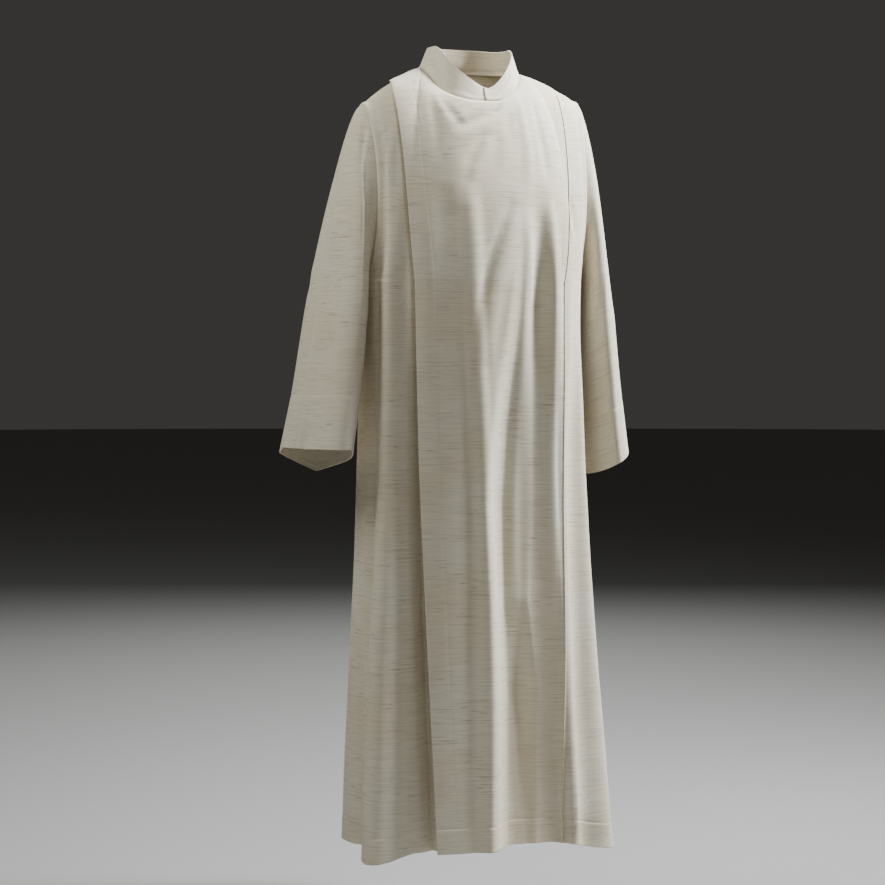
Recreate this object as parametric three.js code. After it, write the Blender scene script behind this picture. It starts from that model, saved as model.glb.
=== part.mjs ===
import * as THREE from 'three';

// A full-length wrapped tunic, worn and filled out, with its neck at the origin.
// Millimetres. +X is the wearer's left, -Y the front, +Z up.
// Angles round the body run from the left side (0) over the front (90) to the right side (180)
// and on over the back (270).
// A panel point has a column angle and a level: 0 at the shoulder and neck seams, 1 at the
// underarm and 2 at the hem.

// Driving dimensions
const wall = 1.6;
const seamGap = 0.36;
const hemLength = 1336;
const neck = { half: 87, front: 88, back: 70, dropFront: 58, rise: 4, squareness: 2.7, leftSquareness: 2 };
const neckSlope = { left: 1.9, right: 1.6 };
const collarTop = { half: 74, front: 76, back: 62, side: 41, dropFront: 77, dropBack: -5 };
const collarSlope = { left: 1.4, right: 6, rightStraight: 0.67 };
const collarOverlap = 7;
const shoulder = { half: 208, y: -8, dropLeft: 47, dropRight: 67, curve: 1.35 };
const armhole = { half: 203, z: -365, front: 60, back: 72, inward: 5 };
const panelEdge = { top: 150, middle: 147, hem: 121 };
const pleat = { top: 150, middle: 134, hem: 128, depth: 18, step: 4.8 };
const lap = 3.7;
const bodySquareness = 2.4;
const neckAngle = 45;

// Body sections below the armholes, one row per height
const bodySections = [
  { z: -365, half: 203, front: 130, back: 112, shiftX: 0, shiftY: 0 },
  { z: -520, half: 199, front: 127, back: 110, shiftX: 0, shiftY: 0 },
  { z: -690, half: 198, front: 124, back: 108, shiftX: 0, shiftY: 0 },
  { z: -900, half: 206, front: 126, back: 110, shiftX: 2, shiftY: -3 },
  { z: -1120, half: 218, front: 131, back: 114, shiftX: 4, shiftY: -7 },
  { z: -1345, half: 231, front: 137, back: 119, shiftX: 7, shiftY: -12 },
];

// Long folds of the body: angle at the top and hem, half width at both, height they start from,
// and how far they stand out (or in, where negative) at the hem
const bodyFolds = [
  { name: 'left side valley', top: 4, hem: 5, spreadTop: 8, spreadHem: 13, start: -420, reach: -12 },
  { name: 'left front flute', top: 26, hem: 29, spreadTop: 12, spreadHem: 19, start: -400, reach: 24 },
  { name: 'pleat lip', top: 47, hem: 57, spreadTop: 7, spreadHem: 7, start: -250, reach: 7 },
  { name: 'broad front trough', top: 70, hem: 72, spreadTop: 9, spreadHem: 17, start: -170, reach: -40 },
  { name: 'centre ridge', top: 95, hem: 94, spreadTop: 6, spreadHem: 10, start: -300, reach: 10 },
  { name: 'right front flute', top: 149, hem: 154, spreadTop: 11, spreadHem: 17, start: -150, reach: 38 },
  { name: 'right side valley', top: 172, hem: 174, spreadTop: 8, spreadHem: 12, start: -420, reach: -20 },
  { name: 'right back flute', top: 200, hem: 203, spreadTop: 13, spreadHem: 18, start: -430, reach: 15 },
  { name: 'back valley, right', top: 226, hem: 228, spreadTop: 8, spreadHem: 13, start: -330, reach: -20 },
  { name: 'back flute, right', top: 246, hem: 248, spreadTop: 9, spreadHem: 14, start: -260, reach: 24 },
  { name: 'back valley, centre', top: 268, hem: 270, spreadTop: 7, spreadHem: 12, start: -380, reach: -22 },
  { name: 'back flute, left', top: 291, hem: 293, spreadTop: 9, spreadHem: 15, start: -300, reach: 26 },
  { name: 'back valley, left', top: 314, hem: 316, spreadTop: 7, spreadHem: 12, start: -420, reach: -18 },
  { name: 'left back flute', top: 338, hem: 338, spreadTop: 10, spreadHem: 15, start: -400, reach: 18 },
];

// The under front sinks behind the free edge of the outer front
const underValley = { top: 131, hem: 127, spreadTop: 9, spreadHem: 12, start: -380, reach: -18 };

// Where the hem hangs lower or higher than its length: angle, half width and how much lower
const hemDrops = [
  { name: 'left side', angle: 22, spread: 50, reach: 24 },
  { name: 'right front flute', angle: 153, spread: 22, reach: 14 },
  { name: 'back', angle: 250, spread: 95, reach: -12 },
];

// Sleeve rings below the underarm: centre, half sizes, turn of the front end inwards,
// and how far the outer side stands above the inner side
const sleeveSections = [
  { x: 244, y: 20, z: -432, halfDepth: 93, halfWidth: 34, turn: 6, lift: 36 },
  { x: 257, y: 24, z: -550, halfDepth: 98, halfWidth: 36, turn: 7, lift: 40 },
  { x: 275, y: 28, z: -674, halfDepth: 103, halfWidth: 37, turn: 8, lift: 46 },
];
const cuffDropLeft = 8;
const sleeveSquareness = 2.2;

// Numbers of facets down and across the pieces
const rows = { armhole: 12, body: 13, sleeveCap: 9, sleeveLower: 6, collar: 3 };
const columns = { side: 7, shoulder: 3, neckHalf: 5 };

const cloth = { color: 0xcdc6b4, roughness: 0.86, metalness: 0 };

const radians = Math.PI / 180;
const vector = (x, y, z) => new THREE.Vector3(x, y, z);
const mix = THREE.MathUtils.lerp;

function smooth(low, high, value) {
  const share = THREE.MathUtils.clamp((value - low) / (high - low), 0, 1);
  return share * share * (3 - 2 * share);
}

function power(value, exponent) {
  return Math.sign(value) * Math.pow(Math.abs(value), exponent);
}

// A soft bump of height 1 that ends at a distance of 1
function bell(distance) {
  const inside = 1 - distance * distance;
  return inside > 0 ? inside * inside : 0;
}

function angleBetween(a, b) {
  return ((a - b + 540) % 360) - 180;
}

// A column of a table of sections, smooth between its rows
function section(table, column, z) {
  let row = 0;
  while (row < table.length - 2 && z < table[row + 1].z) {
    row += 1;
  }
  const before = table[Math.max(row - 1, 0)];
  const from = table[row];
  const to = table[row + 1];
  const after = table[Math.min(row + 2, table.length - 1)];
  const share = (z - from.z) / (to.z - from.z);
  const slopeFrom = (to[column] - before[column]) / (to.z - before.z) * (to.z - from.z);
  const slopeTo = (after[column] - from[column]) / (after.z - from.z) * (to.z - from.z);
  const s2 = share * share;
  const s3 = s2 * share;
  return (2 * s3 - 3 * s2 + 1) * from[column] + (s3 - 2 * s2 + share) * slopeFrom
    + (3 * s2 - 2 * s3) * to[column] + (s3 - s2) * slopeTo;
}

// Body surface

function foldOffset(fold, angle, z) {
  const grown = smooth(fold.start, -hemLength, z);
  const centre = mix(fold.top, fold.hem, grown);
  const spread = mix(fold.spreadTop, fold.spreadHem, grown);
  const height = fold.reach * (0.35 * smooth(fold.start, fold.start - 260, z) + 0.65 * grown);
  return height * bell(angleBetween(angle, centre) / spread);
}

function foldsAt(angle, z) {
  let offset = 0;
  for (const fold of bodyFolds) {
    offset += foldOffset(fold, angle, z);
  }
  return offset;
}

function hemZ(angle) {
  let z = -hemLength;
  for (const drop of hemDrops) {
    z -= drop.reach * bell(angleBetween(angle, drop.angle) / drop.spread);
  }
  return z;
}

function shoulderPoint(side, share) {
  const drop = side > 0 ? shoulder.dropLeft : shoulder.dropRight;
  return vector(
    side * mix(neck.half, shoulder.half, share),
    shoulder.y * share,
    -drop * Math.pow(share, shoulder.curve),
  );
}

// The neck is rounder at its left front than elsewhere
function neckExponent(across, forward) {
  return 2 / (forward > 0 && across > 0 ? neck.leftSquareness : neck.squareness);
}

// Share of the neck seam's drop at a point of the front: it turns down sooner on the right
function neckDrop(across, forward) {
  return across > 0 ? Math.pow(forward, neckSlope.left) : 1 - Math.pow(1 - forward, neckSlope.right);
}

// The neck seam: 0 at the left, 90 at the front, 180 at the right, 270 at the back
function neckPoint(angle) {
  const across = Math.cos(angle * radians);
  const forward = Math.sin(angle * radians);
  const exponent = neckExponent(across, forward);
  const reach = forward > 0 ? neck.front : neck.back;
  const height = forward > 0 ? -neck.dropFront * neckDrop(across, forward) : neck.rise * -forward;
  return vector(neck.half * power(across, exponent), -reach * power(forward, exponent), height);
}

// Front and back share one surface: half is -1 for the front and 1 for the back, the column angle
// runs from 0 at the left seam to 180 at the right one
function ringAngle(half, column) {
  return half < 0 ? column : 360 - column;
}

function neckSeamAngle(half, column) {
  const share = (column - neckAngle) / (180 - 2 * neckAngle);
  return half < 0 ? 180 * share : 360 - 180 * share;
}

function topEdge(half, column) {
  const cosine = Math.cos(column * radians);
  const neckCosine = Math.cos(neckAngle * radians);
  if (Math.abs(cosine) >= neckCosine) {
    return shoulderPoint(Math.sign(cosine), (Math.abs(cosine) - neckCosine) / (1 - neckCosine));
  }
  return neckPoint(neckSeamAngle(half, column));
}

function ringPoint(angle, z) {
  const exponent = 2 / bodySquareness;
  const across = Math.cos(angle * radians);
  const forward = Math.sin(angle * radians);
  const reach = section(bodySections, forward > 0 ? 'front' : 'back', z);
  return vector(
    section(bodySections, 'shiftX', z) + section(bodySections, 'half', z) * power(across, exponent),
    section(bodySections, 'shiftY', z) - reach * power(forward, exponent),
    z,
  );
}

function ringNormal(angle, z) {
  const exponent = 2 - 2 / bodySquareness;
  const across = Math.cos(angle * radians);
  const forward = Math.sin(angle * radians);
  const reach = section(bodySections, forward > 0 ? 'front' : 'back', z);
  return vector(
    power(across, exponent) / section(bodySections, 'half', z),
    -power(forward, exponent) / reach,
    0,
  ).normalize();
}

// Directions in which the wall ends lie at the seams
function shoulderDirection(side, share) {
  const outer = shoulderPoint(side, Math.min(share + 0.02, 1));
  const along = outer.sub(shoulderPoint(side, Math.max(share - 0.02, 0))).normalize();
  const up = vector(0, 0, 1);
  return up.addScaledVector(along, -up.dot(along)).normalize();
}

function neckDirection(angle) {
  return vector(Math.cos(angle * radians), -Math.sin(angle * radians), 0.75).normalize();
}

function neckPointDirection(side) {
  return shoulderDirection(side, 0).add(neckDirection(side > 0 ? 0 : 180)).normalize();
}

function armholeDirection(side, half, theta) {
  return vector(0.35 * side, half * Math.sin(theta), Math.cos(theta)).normalize();
}

function shoulderTipDirection(side) {
  return vector(0.5 * side, 0, 1).normalize();
}

function topDirection(half, column) {
  const cosine = Math.cos(column * radians);
  const neckCosine = Math.cos(neckAngle * radians);
  const side = Math.sign(cosine);
  if (Math.abs(Math.abs(cosine) - neckCosine) < 1e-6) {
    return neckPointDirection(side);
  }
  if (Math.abs(cosine) > 1 - 1e-6) {
    return shoulderTipDirection(side);
  }
  if (Math.abs(cosine) > neckCosine) {
    return shoulderDirection(side, (Math.abs(cosine) - neckCosine) / (1 - neckCosine));
  }
  return neckDirection(neckSeamAngle(half, column));
}

// The bare body surface. level runs from 0 at the top edge to 1 at the underarm and 2 at the hem.
function bodyBase(half, column, level) {
  const angle = ringAngle(half, column);
  if (level >= 1) {
    return ringPoint(angle, mix(armhole.z, hemZ(angle), level - 1));
  }
  const top = topEdge(half, column);
  const foot = ringPoint(angle, armhole.z);
  const theta = Math.PI * level;
  const down = (1 - Math.cos(theta)) / 2;
  const edge = Math.max(0, (Math.abs(Math.cos(column * radians)) - 0.45) / 0.55);
  const squareness = mix(0.5, 0.75, smooth(0, neckAngle, 90 - Math.abs(90 - column) - (90 - neckAngle)));
  const rounded = Math.pow(1 - (1 - down) * (1 - down), squareness);
  const depth = mix(top.y, foot.y, rounded) * half;
  const armDepth = edge * Math.sin(theta) * (half < 0 ? armhole.front : armhole.back);
  const seamY = mix(top.y, foot.y, down);
  const y = depth > 0 ? half * Math.hypot(depth, armDepth) : seamY + half * armDepth;
  return vector(
    mix(top.x, foot.x, rounded) - Math.sign(top.x) * armhole.inward * edge * edge * Math.sin(theta),
    y,
    mix(top.z, foot.z, down),
  );
}

// Outward direction in which folds and laps are moved
function bodyOutward(half, column, level) {
  const angle = ringAngle(half, column);
  const outward = ringNormal(angle, Math.min(bodyBase(half, column, level).z, armhole.z));
  if (level >= 1) {
    return outward;
  }
  return topDirection(half, column).lerp(outward, smooth(0, 0.35, level)).normalize();
}

// Folds fade out towards the seams of the shoulder, neck and armhole
function bodySurface(half, column, level, extra) {
  const base = bodyBase(half, column, level);
  const nearSeam = smooth(0, 0.5, level) * smooth(0, 22, column) * smooth(0, 22, 180 - column);
  const fade = mix(nearSeam, 1, smooth(0.9, 1, level));
  const offset = fade * foldsAt(ringAngle(half, column), base.z) + extra(column, level, base.z);
  return base.addScaledVector(bodyOutward(half, column, level), offset);
}

// Column angle of a line that lies a given distance from the centre
function columnAt(x, level) {
  if (level < 1) {
    const neckCosine = Math.cos(neckAngle * radians);
    const share = (Math.abs(x) - neck.half) / (shoulder.half - neck.half);
    const atTop = Math.acos(Math.sign(x) * (neckCosine + share * (1 - neckCosine))) / radians;
    return mix(atTop, columnAt(x, 1), (1 - Math.cos(Math.PI * level)) / 2);
  }
  const z = mix(armhole.z, -hemLength, level - 1);
  const ratio = (x - section(bodySections, 'shiftX', z)) / section(bodySections, 'half', z);
  return Math.acos(power(ratio, bodySquareness / 2)) / radians;
}

function lineX(line, level) {
  return level < 1 ? mix(line.top, line.middle, level) : mix(line.middle, line.hem, level - 1);
}

// The outer front lies over the under front: together they stay more than a wall apart
function lapIn(column) {
  return -lap * (1 - smooth(99, 122, column));
}

function lapOut(column) {
  return (lap + 0.6) * smooth(93, 112, column);
}

// The side beyond the pleat lies a step deeper, and comes back out towards its seams
function pleatStep(column, level) {
  return -pleat.step * smooth(0.3, 1, column / columnAt(lineX(pleat, level), level));
}

function underExtra(column, level, z) {
  const hiddenValley = foldOffset(underValley, column, z) * smooth(0.3, 0.9, level);
  return lapIn(column) + hiddenValley;
}

function outerExtra(column) {
  return lapOut(column);
}

const noExtra = () => 0;

// Walls: an outer skin, the same points moved in by the wall, and the strips that join their edges
function wallMesh(name, outer, inner, closedAround) {
  const rowCount = outer.length;
  const columnCount = outer[0].length;
  const positions = [];
  for (const skin of [outer, inner]) {
    for (const row of skin) {
      for (const point of row) {
        positions.push(point.x, point.y, point.z);
      }
    }
  }
  const at = (skin, row, column) => (skin * rowCount + row) * columnCount + (column % columnCount);
  const faces = [];
  const quad = (a, b, c, d) => faces.push([a, b, c], [a, c, d]);
  const spans = closedAround ? columnCount : columnCount - 1;
  const last = rowCount - 1;
  for (let column = 0; column < spans; column += 1) {
    const next = column + 1;
    for (let row = 0; row < last; row += 1) {
      quad(at(0, row, column), at(0, row + 1, column), at(0, row + 1, next), at(0, row, next));
      faces.push(
        [at(1, row, column), at(1, row + 1, next), at(1, row + 1, column)],
        [at(1, row, column), at(1, row, next), at(1, row + 1, next)],
      );
    }
    quad(at(0, 0, column), at(0, 0, next), at(1, 0, next), at(1, 0, column));
    quad(at(0, last, next), at(0, last, column), at(1, last, column), at(1, last, next));
  }
  if (!closedAround) {
    const end = columnCount - 1;
    for (let row = 0; row < last; row += 1) {
      quad(at(0, row + 1, 0), at(0, row, 0), at(1, row, 0), at(1, row + 1, 0));
      quad(at(0, row, end), at(0, row + 1, end), at(1, row + 1, end), at(1, row, end));
    }
  }
  const corner = (vertex) => vector(...positions.slice(3 * vertex, 3 * vertex + 3));
  let volume = 0;
  for (const [a, b, c] of faces) {
    volume += corner(a).dot(corner(b).cross(corner(c)));
  }
  const facing = volume > 0 ? faces : faces.map(([a, b, c]) => [a, c, b]);
  const geometry = new THREE.BufferGeometry();
  geometry.setAttribute('position', new THREE.Float32BufferAttribute(positions, 3));
  geometry.setIndex(facing.flat());
  geometry.computeVertexNormals();
  const mesh = new THREE.Mesh(geometry, new THREE.MeshStandardMaterial(cloth));
  mesh.name = name;
  return mesh;
}

// Outward normal of a surface given as a function of two numbers
function surfaceNormal(surface, u, v, stepU, stepV, outward) {
  const alongU = surface(u + stepU, v).sub(surface(u - stepU, v));
  const alongV = surface(u, v + stepV).sub(surface(u, v - stepV));
  const normal = alongU.cross(alongV).normalize();
  return normal.dot(outward) < 0 ? normal.negate() : normal;
}

// Move one edge of both skins away from its seam by half the seam gap. edge and next give each
// point of the edge, and its neighbour inside the piece, as a row and a column.
function pullEdge(outer, inner, edge, next) {
  const before = outer.map((row) => row.map((point) => point.clone()));
  const skinPoint = ([row, column]) => before[row][column];
  for (let item = 0; item < edge.length; item += 1) {
    const [row, column] = edge[item];
    const from = skinPoint(edge[Math.max(item - 1, 0)]);
    const to = skinPoint(edge[Math.min(item + 1, edge.length - 1)]);
    const across = inner[row][column].clone().sub(outer[row][column]);
    const seamPlane = to.clone().sub(from).cross(across).normalize();
    const inwards = skinPoint(next[item]).clone().sub(skinPoint(edge[item]));
    const sign = Math.sign(seamPlane.dot(inwards)) || 1;
    outer[row][column].addScaledVector(seamPlane, sign * seamGap / 2);
    inner[row][column].addScaledVector(seamPlane, sign * seamGap / 2);
  }
}

// The top edge of a piece lies on a seam
function pullTop(outer, inner) {
  const across = [...outer[0].keys()];
  pullEdge(outer, inner, across.map((column) => [0, column]), across.map((column) => [1, column]));
}

function pullSide(outer, inner, column, neighbour) {
  const down = [...outer.keys()];
  pullEdge(outer, inner, down.map((row) => [row, column]), down.map((row) => [row, neighbour]));
}

// Rows of a body panel: level of each row
const panelLevels = [];
for (let row = 0; row <= rows.armhole; row += 1) {
  panelLevels.push(row / rows.armhole);
}
for (let row = 1; row <= rows.body; row += 1) {
  panelLevels.push(1 + row / rows.body);
}

// Columns evenly spread between lines of a panel, all given as angles at one level
function spread(lines, counts) {
  const list = [lines[0]];
  for (let part = 0; part < counts.length; part += 1) {
    for (let step = 1; step <= counts[part]; step += 1) {
      list.push(mix(lines[part], lines[part + 1], step / counts[part]));
    }
  }
  return list;
}

// Lines that all panels share: neck points drift to even spacing below the neck
function neckLine(side, level, edgeColumn) {
  const own = side > 0 ? neckAngle : 180 - neckAngle;
  const share = columns.neckHalf / (columns.neckHalf + columns.shoulder);
  return mix(own, mix(90, edgeColumn, share), smooth(0, 1, level));
}

function leftColumns(level) {
  const pleatColumn = columnAt(lineX(pleat, level), level);
  const lines = [0, pleatColumn, neckLine(1, level, pleatColumn), 90];
  return spread(lines, [columns.side, columns.shoulder, columns.neckHalf]);
}

function rightColumns(level) {
  const edgeColumn = columnAt(-lineX(panelEdge, level), level);
  const lines = [90, neckLine(-1, level, edgeColumn), edgeColumn, 180];
  return spread(lines, [columns.neckHalf, columns.shoulder, columns.side]);
}

// Wall direction of a panel point, with the seams' own directions along their lines
function panelDirection(half, column, level, surface) {
  const theta = Math.PI * level;
  const side = Math.cos(column * radians) > 0 ? 1 : -1;
  const atSide = column < 1e-6 || column > 180 - 1e-6;
  if (level === 0) {
    return topDirection(half, column);
  }
  if (atSide && level < 1 + 1e-6) {
    return armholeDirection(side, half, theta);
  }
  if (atSide) {
    return vector(side, 0, 0);
  }
  const outward = bodyOutward(half, column, level);
  return surfaceNormal(surface, column, level, 0.4, 0.012, outward);
}

function buildPanel(name, half, columnsAt, extra, seams, profileAt) {
  const surface = (column, level) => bodySurface(half, column, level, extra);
  const outer = [];
  const inner = [];
  for (const level of panelLevels) {
    const outerRow = [];
    const innerRow = [];
    for (const column of columnsAt(level)) {
      if (column === 'pleat') {
        const folded = profileAt(level);
        outerRow.push(...folded.outer);
        innerRow.push(...folded.inner);
      } else {
        const point = surface(column, level);
        outerRow.push(point);
        innerRow.push(point.clone().addScaledVector(panelDirection(half, column, level, surface), -wall));
      }
    }
    outer.push(outerRow);
    inner.push(innerRow);
  }
  const end = outer[0].length - 1;
  if (seams.first) {
    pullSide(outer, inner, 0, 1);
  }
  if (seams.last) {
    pullSide(outer, inner, end, end - 1);
  }
  pullTop(outer, inner);
  return wallMesh(name, outer, inner, false);
}

// The pressed knife pleat in three layers. along is the distance towards the left side from the
// pleat's edge, out the distance from the panel's surface, facing the way the cloth faces there.
const pleatProfile = [
  { along: -pleat.depth * 0.45, out: -pleat.step, facing: 90 },
  { along: -pleat.depth + 1, out: -pleat.step, facing: 90 },
  { along: -pleat.depth, out: -pleat.step + 0.3, facing: 0 },
  { along: -pleat.depth + 1, out: -pleat.step + 0.6, facing: -90 },
  { along: -pleat.depth * 0.45, out: -pleat.step + 0.6, facing: -90 },
  { along: -1.4, out: -pleat.step + 0.7, facing: -90 },
  { along: 0.5, out: -pleat.step + 1.4, facing: -45 },
  { along: 1.2, out: -pleat.step / 2 + 0.3, facing: 0 },
  { along: 0.5, out: -0.7, facing: 45 },
  { along: -1.4, out: 0, facing: 90 },
];

function foldedPleat(level) {
  const column = columnAt(lineX(pleat, level), level);
  const step = 0.3;
  const edge = bodySurface(-1, column, level, noExtra);
  const towardsCentre = bodySurface(-1, column + step, level, noExtra);
  const tangent = bodySurface(-1, column - step, level, noExtra).sub(towardsCentre).normalize();
  const flat = (otherColumn, otherLevel) => bodySurface(-1, otherColumn, otherLevel, noExtra);
  const outward = panelDirection(-1, column, level, flat);
  outward.addScaledVector(tangent, -outward.dot(tangent)).normalize();
  const outer = [];
  const inner = [];
  for (const fold of pleatProfile) {
    const point = edge.clone().addScaledVector(tangent, fold.along).addScaledVector(outward, fold.out);
    outer.push(point);
    inner.push(point.clone()
      .addScaledVector(tangent, -wall * Math.cos(fold.facing * radians))
      .addScaledVector(outward, -wall * Math.sin(fold.facing * radians)));
  }
  return { outer, inner };
}

function frontLeft() {
  const columnsAt = (level) => {
    const left = leftColumns(level);
    const right = rightColumns(level);
    const collarEnd = 90 + collarOverlap / 2;
    const over = right.slice(1, 1 + columns.neckHalf + columns.shoulder);
    const beyondPleat = left.slice(columns.side + 1);
    return [...left.slice(0, columns.side + 1), 'pleat', ...beyondPleat, collarEnd, ...over];
  };
  const extra = (column, level) => {
    const pleatColumn = columnAt(lineX(pleat, level), level);
    return outerExtra(column) + (column <= pleatColumn + 1e-6 ? pleatStep(column, level) : 0);
  };
  const seams = { first: true, last: false };
  return buildPanel('front_left', -1, columnsAt, extra, seams, foldedPleat);
}

function frontRight() {
  const columnsAt = (level) => {
    return [90 - 3 * collarOverlap / 2, 90 - collarOverlap / 2, ...rightColumns(level)];
  };
  return buildPanel('front_right', -1, columnsAt, underExtra, { first: false, last: true });
}

function back() {
  const columnsAt = (level) => {
    const left = leftColumns(level);
    return [...left, ...rightColumns(level).slice(1)];
  };
  return buildPanel('back', 1, columnsAt, noExtra, { first: true, last: true });
}

// Sleeves

function armholePoint(side, theta) {
  const half = Math.sin(theta) >= 0 ? -1 : 1;
  const level = theta <= Math.PI ? theta / Math.PI : 2 - theta / Math.PI;
  return bodyBase(half, side > 0 ? 0 : 180, level);
}

function sleeveRing(side, theta, z) {
  const half = section(sleeveSections, 'halfWidth', z);
  const depth = section(sleeveSections, 'halfDepth', z);
  const turn = section(sleeveSections, 'turn', z) * radians;
  const exponent = 2 / sleeveSquareness;
  const outwards = half * power(Math.cos(theta), exponent);
  const forwards = depth * power(Math.sin(theta), exponent);
  const x = outwards * Math.cos(turn) - forwards * Math.sin(turn);
  const y = -forwards * Math.cos(turn) - outwards * Math.sin(turn);
  const drop = side > 0 ? cuffDropLeft * smooth(-432, -674, z) : 0;
  return vector(
    side * (section(sleeveSections, 'x', z) + x),
    section(sleeveSections, 'y', z) + y,
    z + section(sleeveSections, 'lift', z) / 2 * Math.cos(theta) - drop,
  );
}

// From the armhole over the cap into the upper ring, each line leaving the seam at its own slope
function sleeveSurface(side, theta, level) {
  const upper = sleeveSections[0].z;
  const cuff = sleeveSections[sleeveSections.length - 1].z;
  if (level >= 1) {
    return sleeveRing(side, theta, mix(upper, cuff, level - 1));
  }
  const from = armholePoint(side, theta);
  const to = sleeveRing(side, theta, upper);
  const length = from.distanceTo(to);
  const under = (1 - Math.cos(theta)) / 2;
  const leave = vector(side, 0, -0.8).normalize().multiplyScalar(length * mix(0.3, 0.5, under));
  const arrive = vector(side * 0.18, 0, -1).normalize().multiplyScalar(length * 0.9);
  const s2 = level * level;
  const s3 = s2 * level;
  return from.multiplyScalar(2 * s3 - 3 * s2 + 1)
    .addScaledVector(leave, s3 - 2 * s2 + level)
    .addScaledVector(to, 3 * s2 - 2 * s3)
    .addScaledVector(arrive, s3 - s2);
}

function sleeveOutward(side, theta) {
  return vector(side * Math.cos(theta), -Math.sin(theta), 0.2).normalize();
}

function seamDirectionAtArmhole(side, theta) {
  const half = Math.sin(theta) >= 0 ? -1 : 1;
  if (theta < 1e-6) {
    return shoulderTipDirection(side);
  }
  const folded = theta <= Math.PI ? theta : 2 * Math.PI - theta;
  return armholeDirection(side, half, folded);
}

function sleeve(name, side) {
  const around = 2 * rows.armhole;
  const levels = [];
  for (let row = 0; row <= rows.sleeveCap; row += 1) {
    levels.push(row / rows.sleeveCap);
  }
  for (let row = 1; row <= rows.sleeveLower; row += 1) {
    levels.push(1 + row / rows.sleeveLower);
  }
  const surface = (theta, level) => sleeveSurface(side, theta, level);
  const outer = [];
  const inner = [];
  for (const level of levels) {
    const outerRow = [];
    const innerRow = [];
    for (let step = 0; step < around; step += 1) {
      const theta = 2 * Math.PI * step / around;
      const point = surface(theta, level);
      const direction = level === 0
        ? seamDirectionAtArmhole(side, theta)
        : surfaceNormal(surface, theta, level, 0.02, 0.01, sleeveOutward(side, theta));
      outerRow.push(point);
      innerRow.push(point.clone().addScaledVector(direction, -wall));
    }
    outer.push(outerRow);
    inner.push(innerRow);
  }
  pullTop(outer, inner);
  return wallMesh(name, outer, inner, true);
}

// Collar

// Drop of the collar's top edge: a V at the front, whose right arm is straight
function collarTopDrop(across, forward) {
  if (forward <= 0) {
    return collarTop.dropBack * forward * forward;
  }
  const away = Math.abs(across);
  const straight = collarSlope.rightStraight;
  const rightRise = straight * away + (1 - straight) * Math.pow(away, collarSlope.right);
  const rise = across > 0 ? Math.pow(away, collarSlope.left) : rightRise;
  return collarTop.dropFront * (1 - rise);
}

function collarPoint(angle, level) {
  const base = neckPoint(angle);
  const across = Math.cos(angle * radians);
  const forward = Math.sin(angle * radians);
  const exponent = neckExponent(across, forward);
  const reach = forward > 0 ? collarTop.front : collarTop.back;
  const top = vector(
    collarTop.half * power(across, exponent),
    -reach * power(forward, exponent),
    collarTop.side - collarTopDrop(across, forward),
  );
  return base.lerp(top, level);
}

// The right end passes behind the left one at the front
function collar() {
  const neckColumns = [];
  for (let step = 0; step <= columns.neckHalf; step += 1) {
    neckColumns.push(90 * step / columns.neckHalf);
  }
  const angles = [];
  const lifts = [];
  const addPoint = (angle, lift) => {
    angles.push(angle);
    lifts.push(lift);
  };
  addPoint(90 - collarOverlap, -lap);
  for (let step = 0; step < 4 * columns.neckHalf; step += 1) {
    const angle = 90 + 90 * step / columns.neckHalf;
    const nearFront = angle < 200;
    const column = neckAngle + (180 - 2 * neckAngle) * angle / 180;
    addPoint(angle, nearFront ? lapIn(column) : 0);
  }
  addPoint(450, 0);
  addPoint(450 + collarOverlap, 0.2);
  const outer = [];
  const inner = [];
  for (let row = 0; row <= rows.collar; row += 1) {
    const level = row / rows.collar;
    const outerRow = [];
    const innerRow = [];
    for (let item = 0; item < angles.length; item += 1) {
      const angle = angles[item];
      const radial = vector(Math.cos(angle * radians), -Math.sin(angle * radians), 0);
      const seam = angle % 180 === 0 ? neckPointDirection(Math.cos(angle * radians)) : neckDirection(angle);
      const lean = row === 0 ? seam : radial;
      const outwards = seam.clone().lerp(radial, Math.min(1, level * 2)).normalize();
      const point = collarPoint(angle, level).addScaledVector(outwards, lifts[item]);
      outerRow.push(point);
      innerRow.push(point.clone().addScaledVector(lean, -wall));
    }
    outer.push(outerRow);
    inner.push(innerRow);
  }
  pullTop(outer, inner);
  return wallMesh('collar', outer, inner, false);
}

const group = new THREE.Group();
group.add(back(), frontRight(), frontLeft(), collar());
group.add(sleeve('sleeve_right', -1), sleeve('sleeve_left', 1));

export default group;
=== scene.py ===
import math

import bpy
import numpy as np
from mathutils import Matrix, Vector


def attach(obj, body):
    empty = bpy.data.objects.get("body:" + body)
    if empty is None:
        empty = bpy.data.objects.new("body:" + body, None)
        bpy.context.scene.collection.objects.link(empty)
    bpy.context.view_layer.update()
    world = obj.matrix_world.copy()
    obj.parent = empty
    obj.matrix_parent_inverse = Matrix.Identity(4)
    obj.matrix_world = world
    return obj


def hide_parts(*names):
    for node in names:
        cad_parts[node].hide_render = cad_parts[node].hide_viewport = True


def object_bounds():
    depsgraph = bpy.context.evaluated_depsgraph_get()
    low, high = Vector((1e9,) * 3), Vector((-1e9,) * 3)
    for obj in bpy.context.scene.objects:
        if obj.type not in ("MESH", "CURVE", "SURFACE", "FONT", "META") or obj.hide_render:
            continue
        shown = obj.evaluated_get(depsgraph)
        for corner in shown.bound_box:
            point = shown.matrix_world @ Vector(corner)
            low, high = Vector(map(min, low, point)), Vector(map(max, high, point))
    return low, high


# A cream, slubbed wrap-front tunic, worn and filled out: thin cloth shells on the part's solids,
# with their creases, seams and stitching, and one woven material.
# Garment sizes are in millimetres, as in the part, and become metres when a mesh is made.
# Angles round the body run from the left side (0) over the front (90) to the right side (180)
# and on over the back (270). A panel point has a column angle, from 0 at its left seam to 180 at
# its right one, and a level: 0 at the shoulder and neck, 1 at the underarm and 2 at the hem.

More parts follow.
